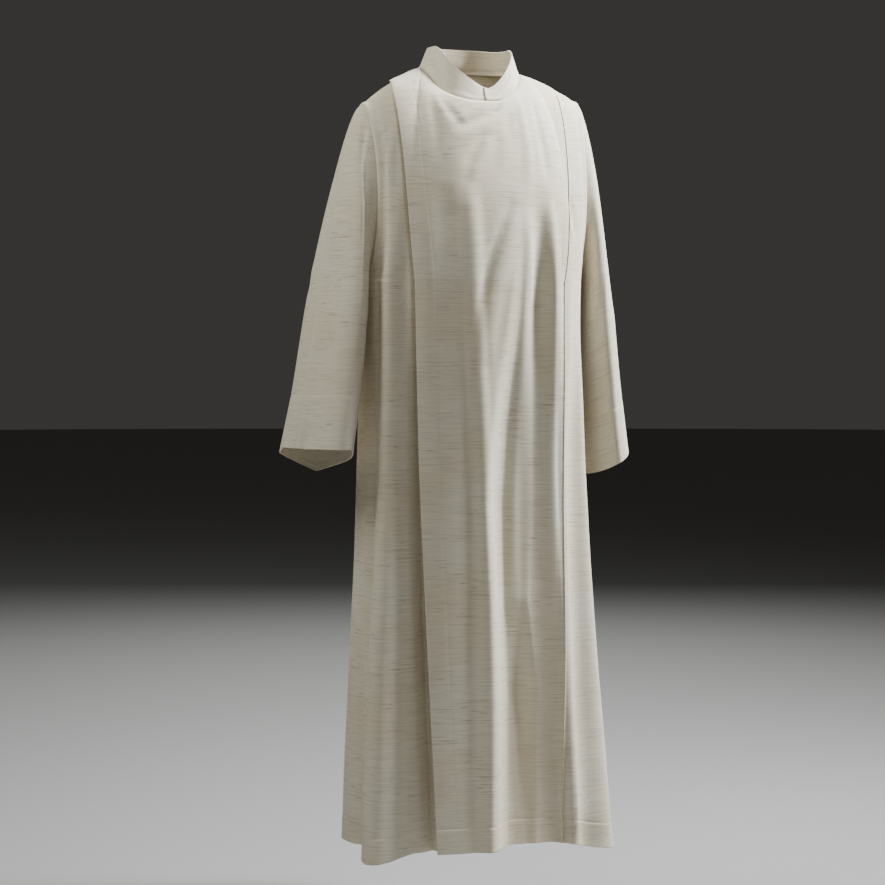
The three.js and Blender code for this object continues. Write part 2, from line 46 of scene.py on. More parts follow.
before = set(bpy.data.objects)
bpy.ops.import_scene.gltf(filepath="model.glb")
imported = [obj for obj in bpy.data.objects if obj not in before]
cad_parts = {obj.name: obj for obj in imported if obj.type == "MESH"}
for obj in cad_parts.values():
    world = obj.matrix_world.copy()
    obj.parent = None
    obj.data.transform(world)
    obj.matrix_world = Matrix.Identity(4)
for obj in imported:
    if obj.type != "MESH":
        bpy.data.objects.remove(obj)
cad_low, cad_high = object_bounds()

METRES = 0.001
IMAGE_SIZE = 885


def table(columns, *rows):
    """A short table with named columns, as a list of rows."""
    return [dict(zip(columns.split(), row)) for row in rows]


# Driving dimensions, the same as the part's
HEM_LENGTH = 1336
NECK = dict(half=87, front=88, back=70, drop_front=58, rise=4, squareness=2.7, left_squareness=2)
NECK_SLOPE = dict(left=1.9, right=1.6)
COLLAR_TOP = dict(half=74, front=76, back=62, side=41, drop_front=77, drop_back=-5)
COLLAR_SLOPE = dict(left=1.4, right=6, right_straight=0.67)
COLLAR_OVERLAP = 7
SHOULDER = dict(half=208, y=-8, drop_left=47, drop_right=67, curve=1.35)
ARMHOLE = dict(z=-365, front=60, back=72, inward=5, side_share=0.45)
CHEST_ROUNDING = dict(front=0.5, side=0.75)
PANEL_EDGE = dict(top=150, middle=147, hem=121)
PLEAT = dict(top=150, middle=134, hem=128, depth=18, step=3.2)
LAP = 3.7
BODY_SQUARENESS = 2.4
NECK_ANGLE = 45

BODY_SECTIONS = table(
    "z half front back shift_x shift_y",
    (-365, 203, 130, 112, 0, 0),
    (-520, 199, 127, 110, 0, 0),
    (-690, 198, 124, 108, 0, 0),
    (-900, 206, 126, 110, 2, -3),
    (-1120, 218, 131, 114, 4, -7),
    (-1345, 231, 137, 119, 7, -12),
)

# Long folds: angle at top and hem, half width at both, height they start from, reach at the hem.
# A share of the reach is there soon below the start, and the rest grows down to the hem.
EARLY_SHARE = 0.35
EARLY_RUN = 260
BODY_FOLDS = table(
    "name top hem spread_top spread_hem start reach",
    ("left side valley", 4, 5, 8, 13, -420, -12),
    ("left front flute", 26, 29, 12, 19, -400, 24),
    ("pleat lip", 47, 57, 7, 7, -250, 7),
    ("broad front trough", 70, 72, 9, 17, -170, -40),
    ("centre ridge", 95, 94, 6, 10, -300, 10),
    ("right front flute", 149, 154, 11, 17, -150, 38),
    ("right side valley", 172, 174, 8, 12, -420, -20),
    ("right back flute", 200, 203, 13, 18, -430, 15),
    ("back valley, right", 226, 228, 8, 13, -330, -20),
    ("back flute, right", 246, 248, 9, 14, -260, 24),
    ("back valley, centre", 268, 270, 7, 12, -380, -22),
    ("back flute, left", 291, 293, 9, 15, -300, 26),
    ("back valley, left", 314, 316, 7, 12, -420, -18),
    ("left back flute", 338, 338, 10, 15, -400, 18),
)
UNDER_VALLEY = dict(top=131, hem=127, spread_top=9, spread_hem=12, start=-380, reach=-18)

HEM_DROPS = table(
    "name angle spread reach",
    ("left side", 22, 50, 24),
    ("right front flute", 153, 22, 14),
    ("back", 250, 95, -12),
)

SLEEVE_SECTIONS = table(
    "x y z half_depth half_width turn lift",
    (244, 20, -432, 93, 34, 6, 36),
    (257, 24, -550, 98, 36, 7, 40),
    (275, 28, -674, 103, 37, 8, 46),
)
CUFF_DROP_LEFT = 8
SLEEVE_SQUARENESS = 2.2

# The right cuff hangs to a point at an angle round the sleeve
CUFF_POINT = dict(angle=212, reach=110, lift=22, depth=42, start=-432, end=-600)

# Cloth and sewing: wall thickness, turned-up depths, seams
CLOTH = 1.0
DOUBLED = 1.9
HEM_DEPTH = 42
CUFF_DEPTH = 92
FACING_DEPTH = 35
FACING_START = 29
SHOULDER_SEAM = dict(ridge=0.4, groove=0.7)
SIDE_SEAM = dict(ridge=0.5, groove=0.8)

# The pleat's step on the chest and what it gains at the hem, the collar's left end in degrees past
# the centre and how far its right end lies behind, the under front's groove and clearance
PLEAT_PRESSED = 1.15
PLEAT_OPEN_AT_HEM = 5
COLLAR_END = 2.5
COLLAR_BEHIND = 2.3
EDGE_GROOVE = 5
COVERED_GAP = 2

# The free edge stands proud by a height in two places, each with a half width and the distances
# down from the shoulder over which it comes and goes
EDGE_ROLLS = table(
    "height width comes goes",
    (2.0, 26, (-2, -1), (20, 70)),
    (3.5, 52, (12, 40), (90, 190)),
)


def smooth(low, high, value):
    share = np.clip((value - low) / (high - low), 0, 1)
    return share * share * (3 - 2 * share)


def mix(a, b, share):
    return a + (b - a) * share


def power(value, exponent):
    return np.sign(value) * np.abs(value) ** exponent


def bell(distance):
    """A soft bump of height 1 that ends at a distance of 1."""
    return np.clip(1 - distance * distance, 0, None) ** 2


def angle_between(a, b):
    return (a - b + 540) % 360 - 180


def points(x, y, z):
    return np.stack(np.broadcast_arrays(x, y, z), axis=-1).astype(float)


def normalize(vectors):
    return vectors / np.maximum(np.linalg.norm(vectors, axis=-1, keepdims=True), 1e-9)


def across_forward(angle):
    """How far an angle round the body points to the left side and to the front."""
    return np.cos(np.radians(angle)), np.sin(np.radians(angle))


def turned_to(vectors, outward):
    return -vectors if (vectors * outward).sum() < 0 else vectors


def curve(share, start, leave, end, arrive):
    """A smooth curve from start to end with the slopes leave and arrive."""
    s2 = share**2
    s3 = share**3
    from_start = start * (2 * s3 - 3 * s2 + 1) + leave * (s3 - 2 * s2 + share)
    return from_start + end * (3 * s2 - 2 * s3) + arrive * (s3 - s2)


def section(rows, column, z):
    """A column of a table of sections, smooth between its rows."""
    heights = np.array([row["z"] for row in rows], float)
    values = np.array([row[column] for row in rows], float)
    z = np.asarray(z, float)
    start = np.clip(np.searchsorted(-heights, -z, side="left") - 1, 0, len(rows) - 2)
    before = np.maximum(start - 1, 0)
    after = np.minimum(start + 2, len(rows) - 1)
    drop = heights[start + 1] - heights[start]
    share = (z - heights[start]) / drop
    slope_from = (values[start + 1] - values[before]) / (heights[start + 1] - heights[before]) * drop
    slope_to = (values[after] - values[start]) / (heights[after] - heights[start]) * drop
    return curve(share, values[start], slope_from, values[start + 1], slope_to)


# Body surface, as in the part


def fold_offset(fold, angle, z):
    grown = smooth(fold["start"], -HEM_LENGTH, z)
    centre = mix(fold["top"], fold["hem"], grown)
    spread = mix(fold["spread_top"], fold["spread_hem"], grown)
    early = smooth(fold["start"], fold["start"] - EARLY_RUN, z)
    height = fold["reach"] * (EARLY_SHARE * early + (1 - EARLY_SHARE) * grown)
    return height * bell(angle_between(angle, centre) / spread)


def folds_at(angle, z):
    return sum(fold_offset(fold, angle, z) for fold in BODY_FOLDS)


def hem_z(angle):
    drops = sum(d["reach"] * bell(angle_between(angle, d["angle"]) / d["spread"]) for d in HEM_DROPS)
    return -HEM_LENGTH - drops


def shoulder_point(side, share):
    drop = np.where(side > 0, SHOULDER["drop_left"], SHOULDER["drop_right"])
    x = side * mix(NECK["half"], SHOULDER["half"], share)
    return points(x, SHOULDER["y"] * share, -drop * share ** SHOULDER["curve"])


def neck_exponent(across, forward):
    """The neck is rounder at its left front than elsewhere."""
    return 2 / np.where((forward > 0) & (across > 0), NECK["left_squareness"], NECK["squareness"])


def neck_drop(across, forward):
    """Share of the neck seam's drop at a point of the front: it turns down sooner on the right."""
    ahead = np.clip(forward, 0, 1)
    return np.where(across > 0, ahead ** NECK_SLOPE["left"], 1 - (1 - ahead) ** NECK_SLOPE["right"])


def neck_point(angle):
    across, forward = across_forward(angle)
    exponent = neck_exponent(across, forward)
    reach = np.where(forward > 0, NECK["front"], NECK["back"])
    front_height = -NECK["drop_front"] * neck_drop(across, forward)
    height = np.where(forward > 0, front_height, -NECK["rise"] * forward)
    return points(NECK["half"] * power(across, exponent), -reach * power(forward, exponent), height)


def ring_angle(half, column):
    return column if half < 0 else 360 - column


def neck_seam_angle(half, column):
    share = (column - NECK_ANGLE) / (180 - 2 * NECK_ANGLE)
    return 180 * share if half < 0 else 360 - 180 * share


NECK_COSINE = math.cos(math.radians(NECK_ANGLE))


def shoulder_share(column):
    cosine = np.cos(np.radians(column))
    return np.sign(cosine), (np.abs(cosine) - NECK_COSINE) / (1 - NECK_COSINE)


def top_edge(half, column):
    side, share = shoulder_share(column)
    on_shoulder = shoulder_point(side, np.clip(share, 0, 1))
    on_neck = neck_point(neck_seam_angle(half, column))
    return np.where((share >= -1e-9)[..., None], on_shoulder, on_neck)


def ring_point(angle, z):
    exponent = 2 / BODY_SQUARENESS
    across, forward = across_forward(angle)
    front = section(BODY_SECTIONS, "front", z)
    reach = np.where(forward > 0, front, section(BODY_SECTIONS, "back", z))
    x = section(BODY_SECTIONS, "shift_x", z) + section(BODY_SECTIONS, "half", z) * power(across, exponent)
    return points(x, section(BODY_SECTIONS, "shift_y", z) - reach * power(forward, exponent), z)


def ring_normal(angle, z):
    exponent = 2 - 2 / BODY_SQUARENESS
    across, forward = across_forward(angle)
    front = section(BODY_SECTIONS, "front", z)
    reach = np.where(forward > 0, front, section(BODY_SECTIONS, "back", z))
    x = power(across, exponent) / section(BODY_SECTIONS, "half", z)
    return normalize(points(x, -power(forward, exponent) / reach, 0 * z))


# Directions in which the cloth's cut edges lie at the seams


def shoulder_direction(side, share):
    before, after = np.clip(share - 0.02, 0, 1), np.clip(share + 0.02, 0, 1)
    along = normalize(shoulder_point(side, after) - shoulder_point(side, before))
    up = points(0 * share, 0, 1)
    return normalize(up - along * along[..., 2:3])


def neck_direction(angle):
    across, forward = across_forward(angle)
    return normalize(points(across, -forward, 0.75))


def neck_point_direction(side):
    side = np.asarray(side, float)
    return normalize(shoulder_direction(side, 0 * side) + neck_direction(90 - 90 * side))


def armhole_direction(side, half, theta):
    return normalize(points(0.35 * side, half * np.sin(theta), np.cos(theta)))


def shoulder_tip_direction(side):
    return normalize(points(0.5 * side, 0, 1))


def top_direction(half, column):
    side, share = shoulder_share(column)
    direction = neck_direction(neck_seam_angle(half, column))
    inside = (share > 1e-6)[..., None]
    direction = np.where(inside, shoulder_direction(side, np.clip(share, 0, 1)), direction)
    tip = (share > 1 - 1e-5)[..., None]
    direction = np.where(tip, shoulder_tip_direction(side), direction)
    corner = (np.abs(share) < 1e-5)[..., None]
    return np.where(corner, neck_point_direction(side), direction)


def body_base(half, column, level):
    angle = ring_angle(half, column)
    top = top_edge(half, column)
    foot = ring_point(angle, ARMHOLE["z"] + 0 * column)
    theta = np.pi * np.minimum(level, 1)
    down = (1 - np.cos(theta)) / 2
    side_share = ARMHOLE["side_share"]
    edge = np.maximum(0, (np.abs(np.cos(np.radians(column))) - side_share) / (1 - side_share))
    beyond_neck_point = 90 - np.abs(90 - column) - (90 - NECK_ANGLE)
    to_side = smooth(0, NECK_ANGLE, beyond_neck_point)
    rounded = (1 - (1 - down) ** 2) ** mix(CHEST_ROUNDING["front"], CHEST_ROUNDING["side"], to_side)
    depth = mix(top[..., 1], foot[..., 1], rounded) * half
    arm_depth = edge * np.sin(theta) * (ARMHOLE["front"] if half < 0 else ARMHOLE["back"])
    seam_y = mix(top[..., 1], foot[..., 1], down)
    inward = np.sign(top[..., 0]) * ARMHOLE["inward"] * edge**2 * np.sin(theta)
    chest = points(
        mix(top[..., 0], foot[..., 0], rounded) - inward,
        np.where(depth > 0, half * np.hypot(depth, arm_depth), seam_y + half * arm_depth),
        mix(top[..., 2], foot[..., 2], down),
    )
    skirt = ring_point(angle, mix(ARMHOLE["z"], hem_z(angle), np.maximum(level - 1, 0)))
    return np.where((level >= 1)[..., None], skirt, chest)


def body_outward(half, column, level, base):
    angle = ring_angle(half, column)
    outward = ring_normal(angle, np.minimum(base[..., 2], ARMHOLE["z"]))
    near_top = smooth(0, 0.35, level)[..., None]
    return normalize(mix(top_direction(half, column), outward, near_top))


def column_at(x, level):
    """Column angle of a line that lies a given distance from the centre, on one level."""
    if level < 1:
        share = (abs(x) - NECK["half"]) / (SHOULDER["half"] - NECK["half"])
        at_top = math.degrees(math.acos(math.copysign(NECK_COSINE + share * (1 - NECK_COSINE), x)))
        return mix(at_top, column_at(x, 1), (1 - math.cos(math.pi * level)) / 2)
    z = mix(ARMHOLE["z"], -HEM_LENGTH, level - 1)
    ratio = (x - section(BODY_SECTIONS, "shift_x", z)) / section(BODY_SECTIONS, "half", z)
    return math.degrees(math.acos(power(float(ratio), BODY_SQUARENESS / 2)))


def line_x(line, level):
    if level < 1:
        return mix(line["top"], line["middle"], level)
    return mix(line["middle"], line["hem"], level - 1)


# Levels of the rows of all panels, closer together at the hem's stitching and edge
SKIRT_LENGTH = HEM_LENGTH + ARMHOLE["z"]
ARMHOLE_ROWS = 108
SKIRT_ROWS = 170
HEM_ROWS = [60, 52, 46, 44, 43, 42.5, 42, 41.5, 40.5, 38, 33, 27, 20, 13, 7, 3, 1, 0]
PANEL_LEVELS = np.concatenate([
    np.arange(ARMHOLE_ROWS) / ARMHOLE_ROWS,
    np.linspace(1, 2 - (HEM_ROWS[0] + 5) / SKIRT_LENGTH, SKIRT_ROWS),
    2 - np.array(HEM_ROWS) / SKIRT_LENGTH,
])


def level_grid(columns):
    return np.repeat(PANEL_LEVELS[:, None], columns.shape[1], axis=1)


def lapped(column):
    """Share of the lap: full under the outer front's middle, nothing beyond it."""
    return 1 - smooth(99, 122, column)


def spread(lines, counts, ease=1.0):
    """Columns between lines of a panel; the first stretch starts with narrow ones."""
    result = [lines[0]]
    for part, count in enumerate(counts):
        shares = np.arange(1, count + 1) / count
        if part == 0:
            shares = shares**ease
        result.extend(mix(lines[part], lines[part + 1], shares))
    return result


# Creases. Each is a chain of points on the panel: distance across from the centre line (towards
# the left side positive), height, half width and how far the cloth stands out there (in, where
# negative). A pinch above 0 sharpens its middle.


def crease(*chain, pinch=0.0):
    return {"chain": chain, "pinch": pinch}


FRONT_CREASES = {
    "fold from the collar, right end": crease(
        (-112, -44, 9, 0), (-104, -56, 10, 1.5), (-94, -76, 12, 2), (-86, -98, 14, 1.5),
        (-82, -125, 15, 0)),
    "dip beside the facing": crease(
        (-118, -60, 10, 0), (-114, -78, 12, -1.8), (-110, -98, 13, -2.2), (-108, -130, 14, -1.5),
        (-108, -165, 12, 0)),
    "dip under the collar": crease(
        (-90, -62, 9, 0), (-80, -76, 11, -1.4), (-71, -88, 12, -2.2), (-66, -96, 12, -1.8),
        (-60, -106, 10, 0)),
    "small fold above the drag crease": crease(
        (-18, -62, 9, 0), (-30, -71, 9, 2), (-58, -92, 9, 2), (-66, -100, 8, 0)),
    "drag crease from the collar": crease(
        (16, -58, 6, -3), (9, -73, 7, -6), (-18, -86, 8, -6), (-56, -103, 10, -3), (-76, -112, 10, 0),
        pinch=0.7),
    "fold under the drag crease": crease(
        (14, -84, 14, 0), (-8, -98, 14, 2), (-44, -116, 15, 2.5), (-76, -128, 14, 0)),
    "slanting dip, first": crease(
        (-18, -106, 9, 0), (-26, -120, 11, -2.5), (-52, -160, 13, -2.5), (-62, -185, 12, 0)),
    "slanting fold": crease(
        (-8, -118, 11, 0), (-16, -132, 12, 2.5), (-44, -180, 14, 2.5), (-52, -205, 12, 0)),
    "slanting dip, second": crease(
        (5, -110, 10, 0), (3, -128, 11, -2.5), (-6, -172, 13, -2.5), (-26, -198, 12, 0)),
    "dip under the left collar": crease(
        (33, -70, 9, 0), (31, -84, 10, -2), (28, -108, 11, -2), (26, -130, 10, 0)),
    "upright fold on the chest": crease(
        (56, -40, 11, 0), (60, -60, 12, 3), (62, -100, 13, 4), (64, -140, 15, 3.5), (62, -190, 18, 2),
        (58, -240, 18, 0)),
    "upright dip on the chest": crease(
        (98, -46, 9, 0), (98, -62, 11, -3), (98, -96, 13, -4), (103, -155, 15, -3.5), (106, -205, 14, 0)),
    "hollow under the chest": crease(
        (-96, -205, 30, 0), (-96, -255, 34, -5), (-98, -340, 36, -6), (-98, -480, 36, -4),
        (-98, -620, 30, 0)),
    "centre fold": crease(
        (-52, -200, 16, 0), (-52, -240, 20, 4), (-50, -300, 22, 6), (-50, -400, 22, 6), (-46, -520, 24, 6),
        (-38, -640, 26, 5), (-29, -780, 28, 5), (-27, -950, 30, 5), (-28, -1340, 32, 4)),
    "slanting dip under the chest": crease(
        (24, -212, 12, 0), (20, -235, 13, -2.5), (4, -272, 14, -3.5), (-14, -313, 14, -3.5),
        (-30, -367, 14, -2.5), (-40, -425, 12, 0)),
    "slanting fold under the chest": crease(
        (34, -240, 16, 0), (24, -272, 20, 2.5), (8, -320, 24, 4), (-6, -365, 27, 5), (-17, -405, 28, 5),
        (-27, -450, 28, 3), (-34, -510, 24, 0)),
    "crease beside the centre fold": crease(
        (46, -270, 14, 0), (45, -310, 18, -3), (44, -360, 23, -5.5), (41, -430, 30, -9.5),
        (34, -520, 38, -16), (27, -620, 46, -22), (20, -744, 54, -27), (19, -912, 47, -31),
        (29, -1080, 57, -38), (21, -1250, 58, -40), (16, -1345, 58, -40), pinch=0.25),
    "short fold": crease(
        (56, -270, 9, 0), (60, -300, 11, 1), (64, -345, 12, 1.2), (67, -390, 12, 1), (68, -430, 11, 0)),
    "dip beside the pleat": crease(
        (70, -225, 14, 0), (78, -260, 17, -1.5), (82, -320, 20, -1.8), (82, -390, 22, -1.6),
        (78, -470, 22, -1.4), (74, -560, 20, 0)),
    "fold along the pleat": crease(
        (104, -215, 15, 0), (105, -250, 18, 3), (109, -320, 20, 4), (117, -420, 22, 4),
        (124, -520, 22, 3.5), (128, -640, 20, 2.5), (128, -760, 18, 0)),
    "rise in the broad trough": crease(
        (80, -400, 34, 0), (82, -520, 38, 4.5), (84, -640, 40, 8), (86, -744, 40, 11), (88, -912, 40, 13),
        (90, -1100, 40, 13), (92, -1340, 40, 11)),
    "dip beyond the pleat": crease(
        (152, -205, 9, 0), (159, -232, 10, -3), (166, -262, 11, -3), (172, -300, 10, 0)),
    "short fold beyond the pleat": crease((152, -258, 7, 0), (157, -276, 8, 2.5), (164, -305, 8, 0)),
    "side fold": crease(
        (196, -420, 14, 0), (194, -560, 16, 2.5), (196, -760, 18, 3), (192, -980, 18, 2),
        (190, -1150, 16, 0)),
}
UNDER_CREASES = {
    "fold from the armhole": crease((-262, -158, 7, 1), (-246, -178, 8, 3), (-228, -204, 9, 0)),
    "dip under the armhole fold": crease(
        (-256, -178, 8, -1), (-246, -210, 10, -4), (-240, -260, 11, -4), (-238, -340, 12, -2),
        (-236, -400, 10, 0)),
    "short crease at the armhole": crease(
        (-240, -126, 5, 0), (-230, -122, 6, -2), (-216, -114, 6, -2), (-208, -108, 5, 0)),
    "upright fold": crease(
        (-200, -105, 12, 0), (-204, -150, 14, 3), (-200, -230, 14, 3.5), (-196, -330, 14, 3.5),
        (-192, -450, 15, 3), (-190, -600, 16, 2), (-192, -760, 16, 0)),
    "dip beside the free edge": crease(
        (-153, -400, 10, 0), (-151, -520, 14, -7), (-149, -640, 16, -12), (-147, -744, 18, -15),
        (-143, -912, 20, -19), (-138, -1080, 23, -23), (-134, -1250, 25, -24), (-132, -1345, 25, -24),
        pinch=0.3),
    "soft fold at the side": crease(
        (-232, -640, 12, 0), (-236, -800, 14, 2.5), (-238, -1000, 15, 3), (-236, -1180, 14, 0)),
}
BACK_CREASES = {
    "fold from the neck, left": crease(
        (20, -30, 10, 0), (45, -62, 14, 3), (80, -104, 18, 3), (118, -150, 20, 2), (150, -200, 18, 0)),
    "dip from the neck, left": crease(
        (8, -26, 9, 0), (26, -62, 12, -3), (52, -110, 16, -3.5), (84, -165, 18, -2.5), (104, -215, 16, 0)),
    "fold from the neck, right": crease(
        (-26, -28, 10, 0), (-52, -58, 13, 2.5), (-84, -92, 17, 3), (-128, -138, 20, 2),
        (-160, -176, 18, 0)),
    "dip from the neck, right": crease(
        (-14, -34, 9, 0), (-34, -78, 13, -3), (-62, -128, 16, -3.5), (-92, -190, 18, -2.5),
        (-112, -250, 16, 0)),
    "fold between the shoulder blades": crease(
        (-6, -120, 16, 0), (-10, -190, 22, 3), (-16, -280, 24, 4), (-24, -400, 26, 4), (-30, -520, 26, 3),
        (-30, -620, 24, 0)),
    "hollow under the left blade": crease(
        (120, -250, 26, 0), (124, -310, 30, -5), (118, -400, 30, -6), (112, -500, 28, -4),
        (108, -600, 24, 0)),
    "fold beside the left blade": crease(
        (158, -230, 16, 0), (162, -300, 18, 4), (160, -390, 20, 5), (152, -500, 20, 3), (148, -600, 18, 0)),
    "hollow under the right blade": crease(
        (-96, -280, 26, 0), (-102, -350, 28, -5), (-98, -450, 28, -5), (-88, -560, 26, -3),
        (-84, -660, 24, 0)),
    "fold beside the right blade": crease(
        (-140, -250, 18, 0), (-146, -330, 20, 4), (-140, -430, 20, 4), (-130, -540, 20, 2.5),
        (-124, -640, 18, 0)),
    "long crease, left": crease(
        (52, -520, 14, 0), (48, -640, 16, -4), (40, -800, 17, -6), (34, -960, 18, -8), (38, -1150, 18, -10),
        (36, -1340, 18, -11), pinch=0.5),
    "long fold, left": crease(
        (82, -600, 20, 0), (76, -760, 20, 3), (70, -950, 20, 4), (74, -1150, 22, 5), (72, -1340, 22, 5)),
    "long crease, right": crease(
        (-118, -640, 14, 0), (-122, -760, 16, -4), (-126, -920, 18, -6), (-128, -1100, 18, -8),
        (-124, -1340, 18, -9), pinch=0.5),
    "pull to the left armhole": crease(
        (196, -238, 8, 0), (182, -262, 10, -3), (160, -300, 12, -3), (138, -348, 12, 0)),
    "pull to the right armhole": crease(
        (-200, -262, 8, 0), (-184, -284, 10, -3), (-166, -318, 12, -2.5), (-150, -350, 12, 0)),
}
SLEEVE_RIGHT_CREASES = {
    "dip at the armhole": crease(
        (28, -88, 9, 0), (42, -112, 13, -5), (52, -136, 14, -7), (58, -162, 10, -4), (62, -190, 8, 0)),
    "crease along the front": crease(
        (60, -158, 6, -3), (76, -200, 6, -3.5), (94, -236, 6, -3), (104, -275, 6, -1.5), (106, -310, 6, 0),
        pinch=0.8),
    "fold along the front": crease(
        (70, -164, 8, 2), (88, -205, 9, 3), (108, -240, 9, 3), (118, -290, 10, 2.5), (112, -400, 12, 2),
        (108, -540, 12, 0)),
    "ridge along the outside": crease(
        (-6, -280, 14, 0), (-6, -420, 15, 1.5), (-8, -540, 15, 2.5), (-2, -630, 13, 3), (0, -700, 12, 3)),
    "tuck at the cuff": crease(
        (20, -540, 9, 0), (17, -600, 10, -3), (15, -635, 11, -8), (12, -690, 12, -12), pinch=0.6),
    "soft dip": crease((46, -300, 18, 0), (52, -380, 20, -2), (58, -480, 22, -2.5), (62, -580, 20, 0)),
    "elbow fold at the back": crease(
        (-70, -330, 12, 0), (-92, -352, 14, 3), (-122, -360, 14, 3), (-150, -350, 12, 0)),
    "elbow dip at the back": crease(
        (-64, -366, 11, 0), (-90, -384, 13, -3.5), (-120, -390, 13, -3), (-146, -378, 11, 0)),
    "long dip at the back": crease((-96, -150, 12, 0), (-104, -230, 16, -4), (-108, -310, 14, 0)),
    "cuff fold at the back": crease((-110, -470, 14, 0), (-104, -560, 16, 3), (-100, -690, 18, 4)),
}
SLEEVE_LEFT_CREASES = {
    "dip along the front": crease(
        (126, -370, 9, 0), (130, -440, 10, -2), (134, -540, 12, -2.5), (140, -620, 12, -2.5),
        (148, -700, 11, -2)),
    "fold along the front": crease(
        (106, -330, 10, 0), (110, -400, 12, 2.5), (114, -540, 13, 3), (120, -610, 13, 3),
        (124, -700, 12, 2.5)),
    "dip at the armhole": crease(
        (34, -84, 9, 0), (48, -112, 12, -4), (60, -140, 13, -4), (68, -175, 10, 0)),
    "ridge along the outside": crease(
        (4, -250, 14, 0), (2, -400, 15, 2), (-4, -540, 15, 2.5), (-2, -700, 13, 3)),
    "elbow fold at the back": crease(
        (-60, -342, 12, 0), (-86, -360, 14, 3), (-118, -366, 14, 2.5), (-142, -352, 12, 0)),
    "elbow dip at the back": crease(
        (-58, -376, 11, 0), (-84, -396, 13, -3), (-116, -400, 13, -3), (-140, -390, 11, 0)),
    "long dip at the back": crease((-88, -140, 12, 0), (-100, -215, 15, -4), (-104, -290, 14, 0)),
    "cuff fold at the back": crease((-84, -500, 14, 0), (-92, -600, 16, 3), (-96, -700, 18, 3.5)),
}


CHEST_STRENGTH = 0.55
CHEST_BAND = (-220, -620)
PINCH_EXPONENT = 1.6


def crease_field(creases, across, height):
    """All creases of a piece; those of the upper part are shallower than the skirt's."""
    field = np.zeros_like(across)
    for item in creases.values():
        chain, pinch = item["chain"], item["pinch"]
        strongest = np.zeros_like(across)
        for (a0, h0, w0, d0), (a1, h1, w1, d1) in zip(chain, chain[1:]):
            run, fall = a1 - a0, h1 - h0
            share = np.clip(((across - a0) * run + (height - h0) * fall) / (run * run + fall * fall), 0, 1)
            distance = np.hypot(across - a0 - share * run, height - h0 - share * fall) / mix(w0, w1, share)
            sharp = np.clip(1 - distance, 0, None) ** PINCH_EXPONENT
            bump = mix(d0, d1, share) * mix(bell(distance), sharp, pinch)
            strongest = np.where(np.abs(bump) > np.abs(strongest), bump, strongest)
        field += strongest
    return field * mix(CHEST_STRENGTH, 1, smooth(*CHEST_BAND, height))


def unevenness(across, height, seed):
    """Slight unevenness of hanging cloth: long upright waves and weaker level ones."""
    upright = np.sin(across / 23 + 1.3 * np.sin(height / 260 + seed) + seed)
    wide = np.sin(across / 41 + height / 510 + 2.1 * seed)
    level = np.sin(height / 37 + 1.7 * np.sin(across / 90 + seed)) * np.sin(across / 60 + seed)
    return 0.45 * upright + 0.7 * wide + 0.28 * level


def seam_relief(distance, ridge, groove):
    """A seam's groove, with the seam allowance raised beside it."""
    return ridge * bell((distance - 6) / 6) - groove * bell(distance / 2.5)


def armhole_relief(distance, level):
    """The body's cloth rolls up a little along the armhole seam."""
    roll = 1.1 * bell((distance - 5) / 7) - 0.9 * bell((distance - 16) / 9) - 0.7 * bell(distance / 2.5)
    side = seam_relief(distance, **SIDE_SEAM)
    return mix(roll, side, smooth(0.9, 1.02, level))


def stitched_edge(distance, depth):
    """A turned-up hem or facing: a doubled layer up to its line of stitches."""
    doubled = 1 - smooth(depth - 1.5, depth + 1.5, distance)
    return 0.45 * doubled - 0.35 * bell((distance - depth) / 2.4)


def distance_along(grid, axis):
    steps = np.linalg.norm(np.diff(grid, axis=axis), axis=-1)
    shape = list(grid.shape[:2])
    shape[axis] = 1
    return np.concatenate([np.zeros(shape), np.cumsum(steps, axis=axis)], axis=axis)


def grid_normals(grid, closed):
    """Unit normals of a grid of points, from its neighbours."""
    if closed:
        wrapped = np.concatenate([grid[:, -1:], grid, grid[:, :1]], axis=1)
        across = (wrapped[:, 2:] - wrapped[:, :-2]) / 2
    else:
        across = np.gradient(grid, axis=1)
    return normalize(np.cross(across, np.gradient(grid, axis=0)))


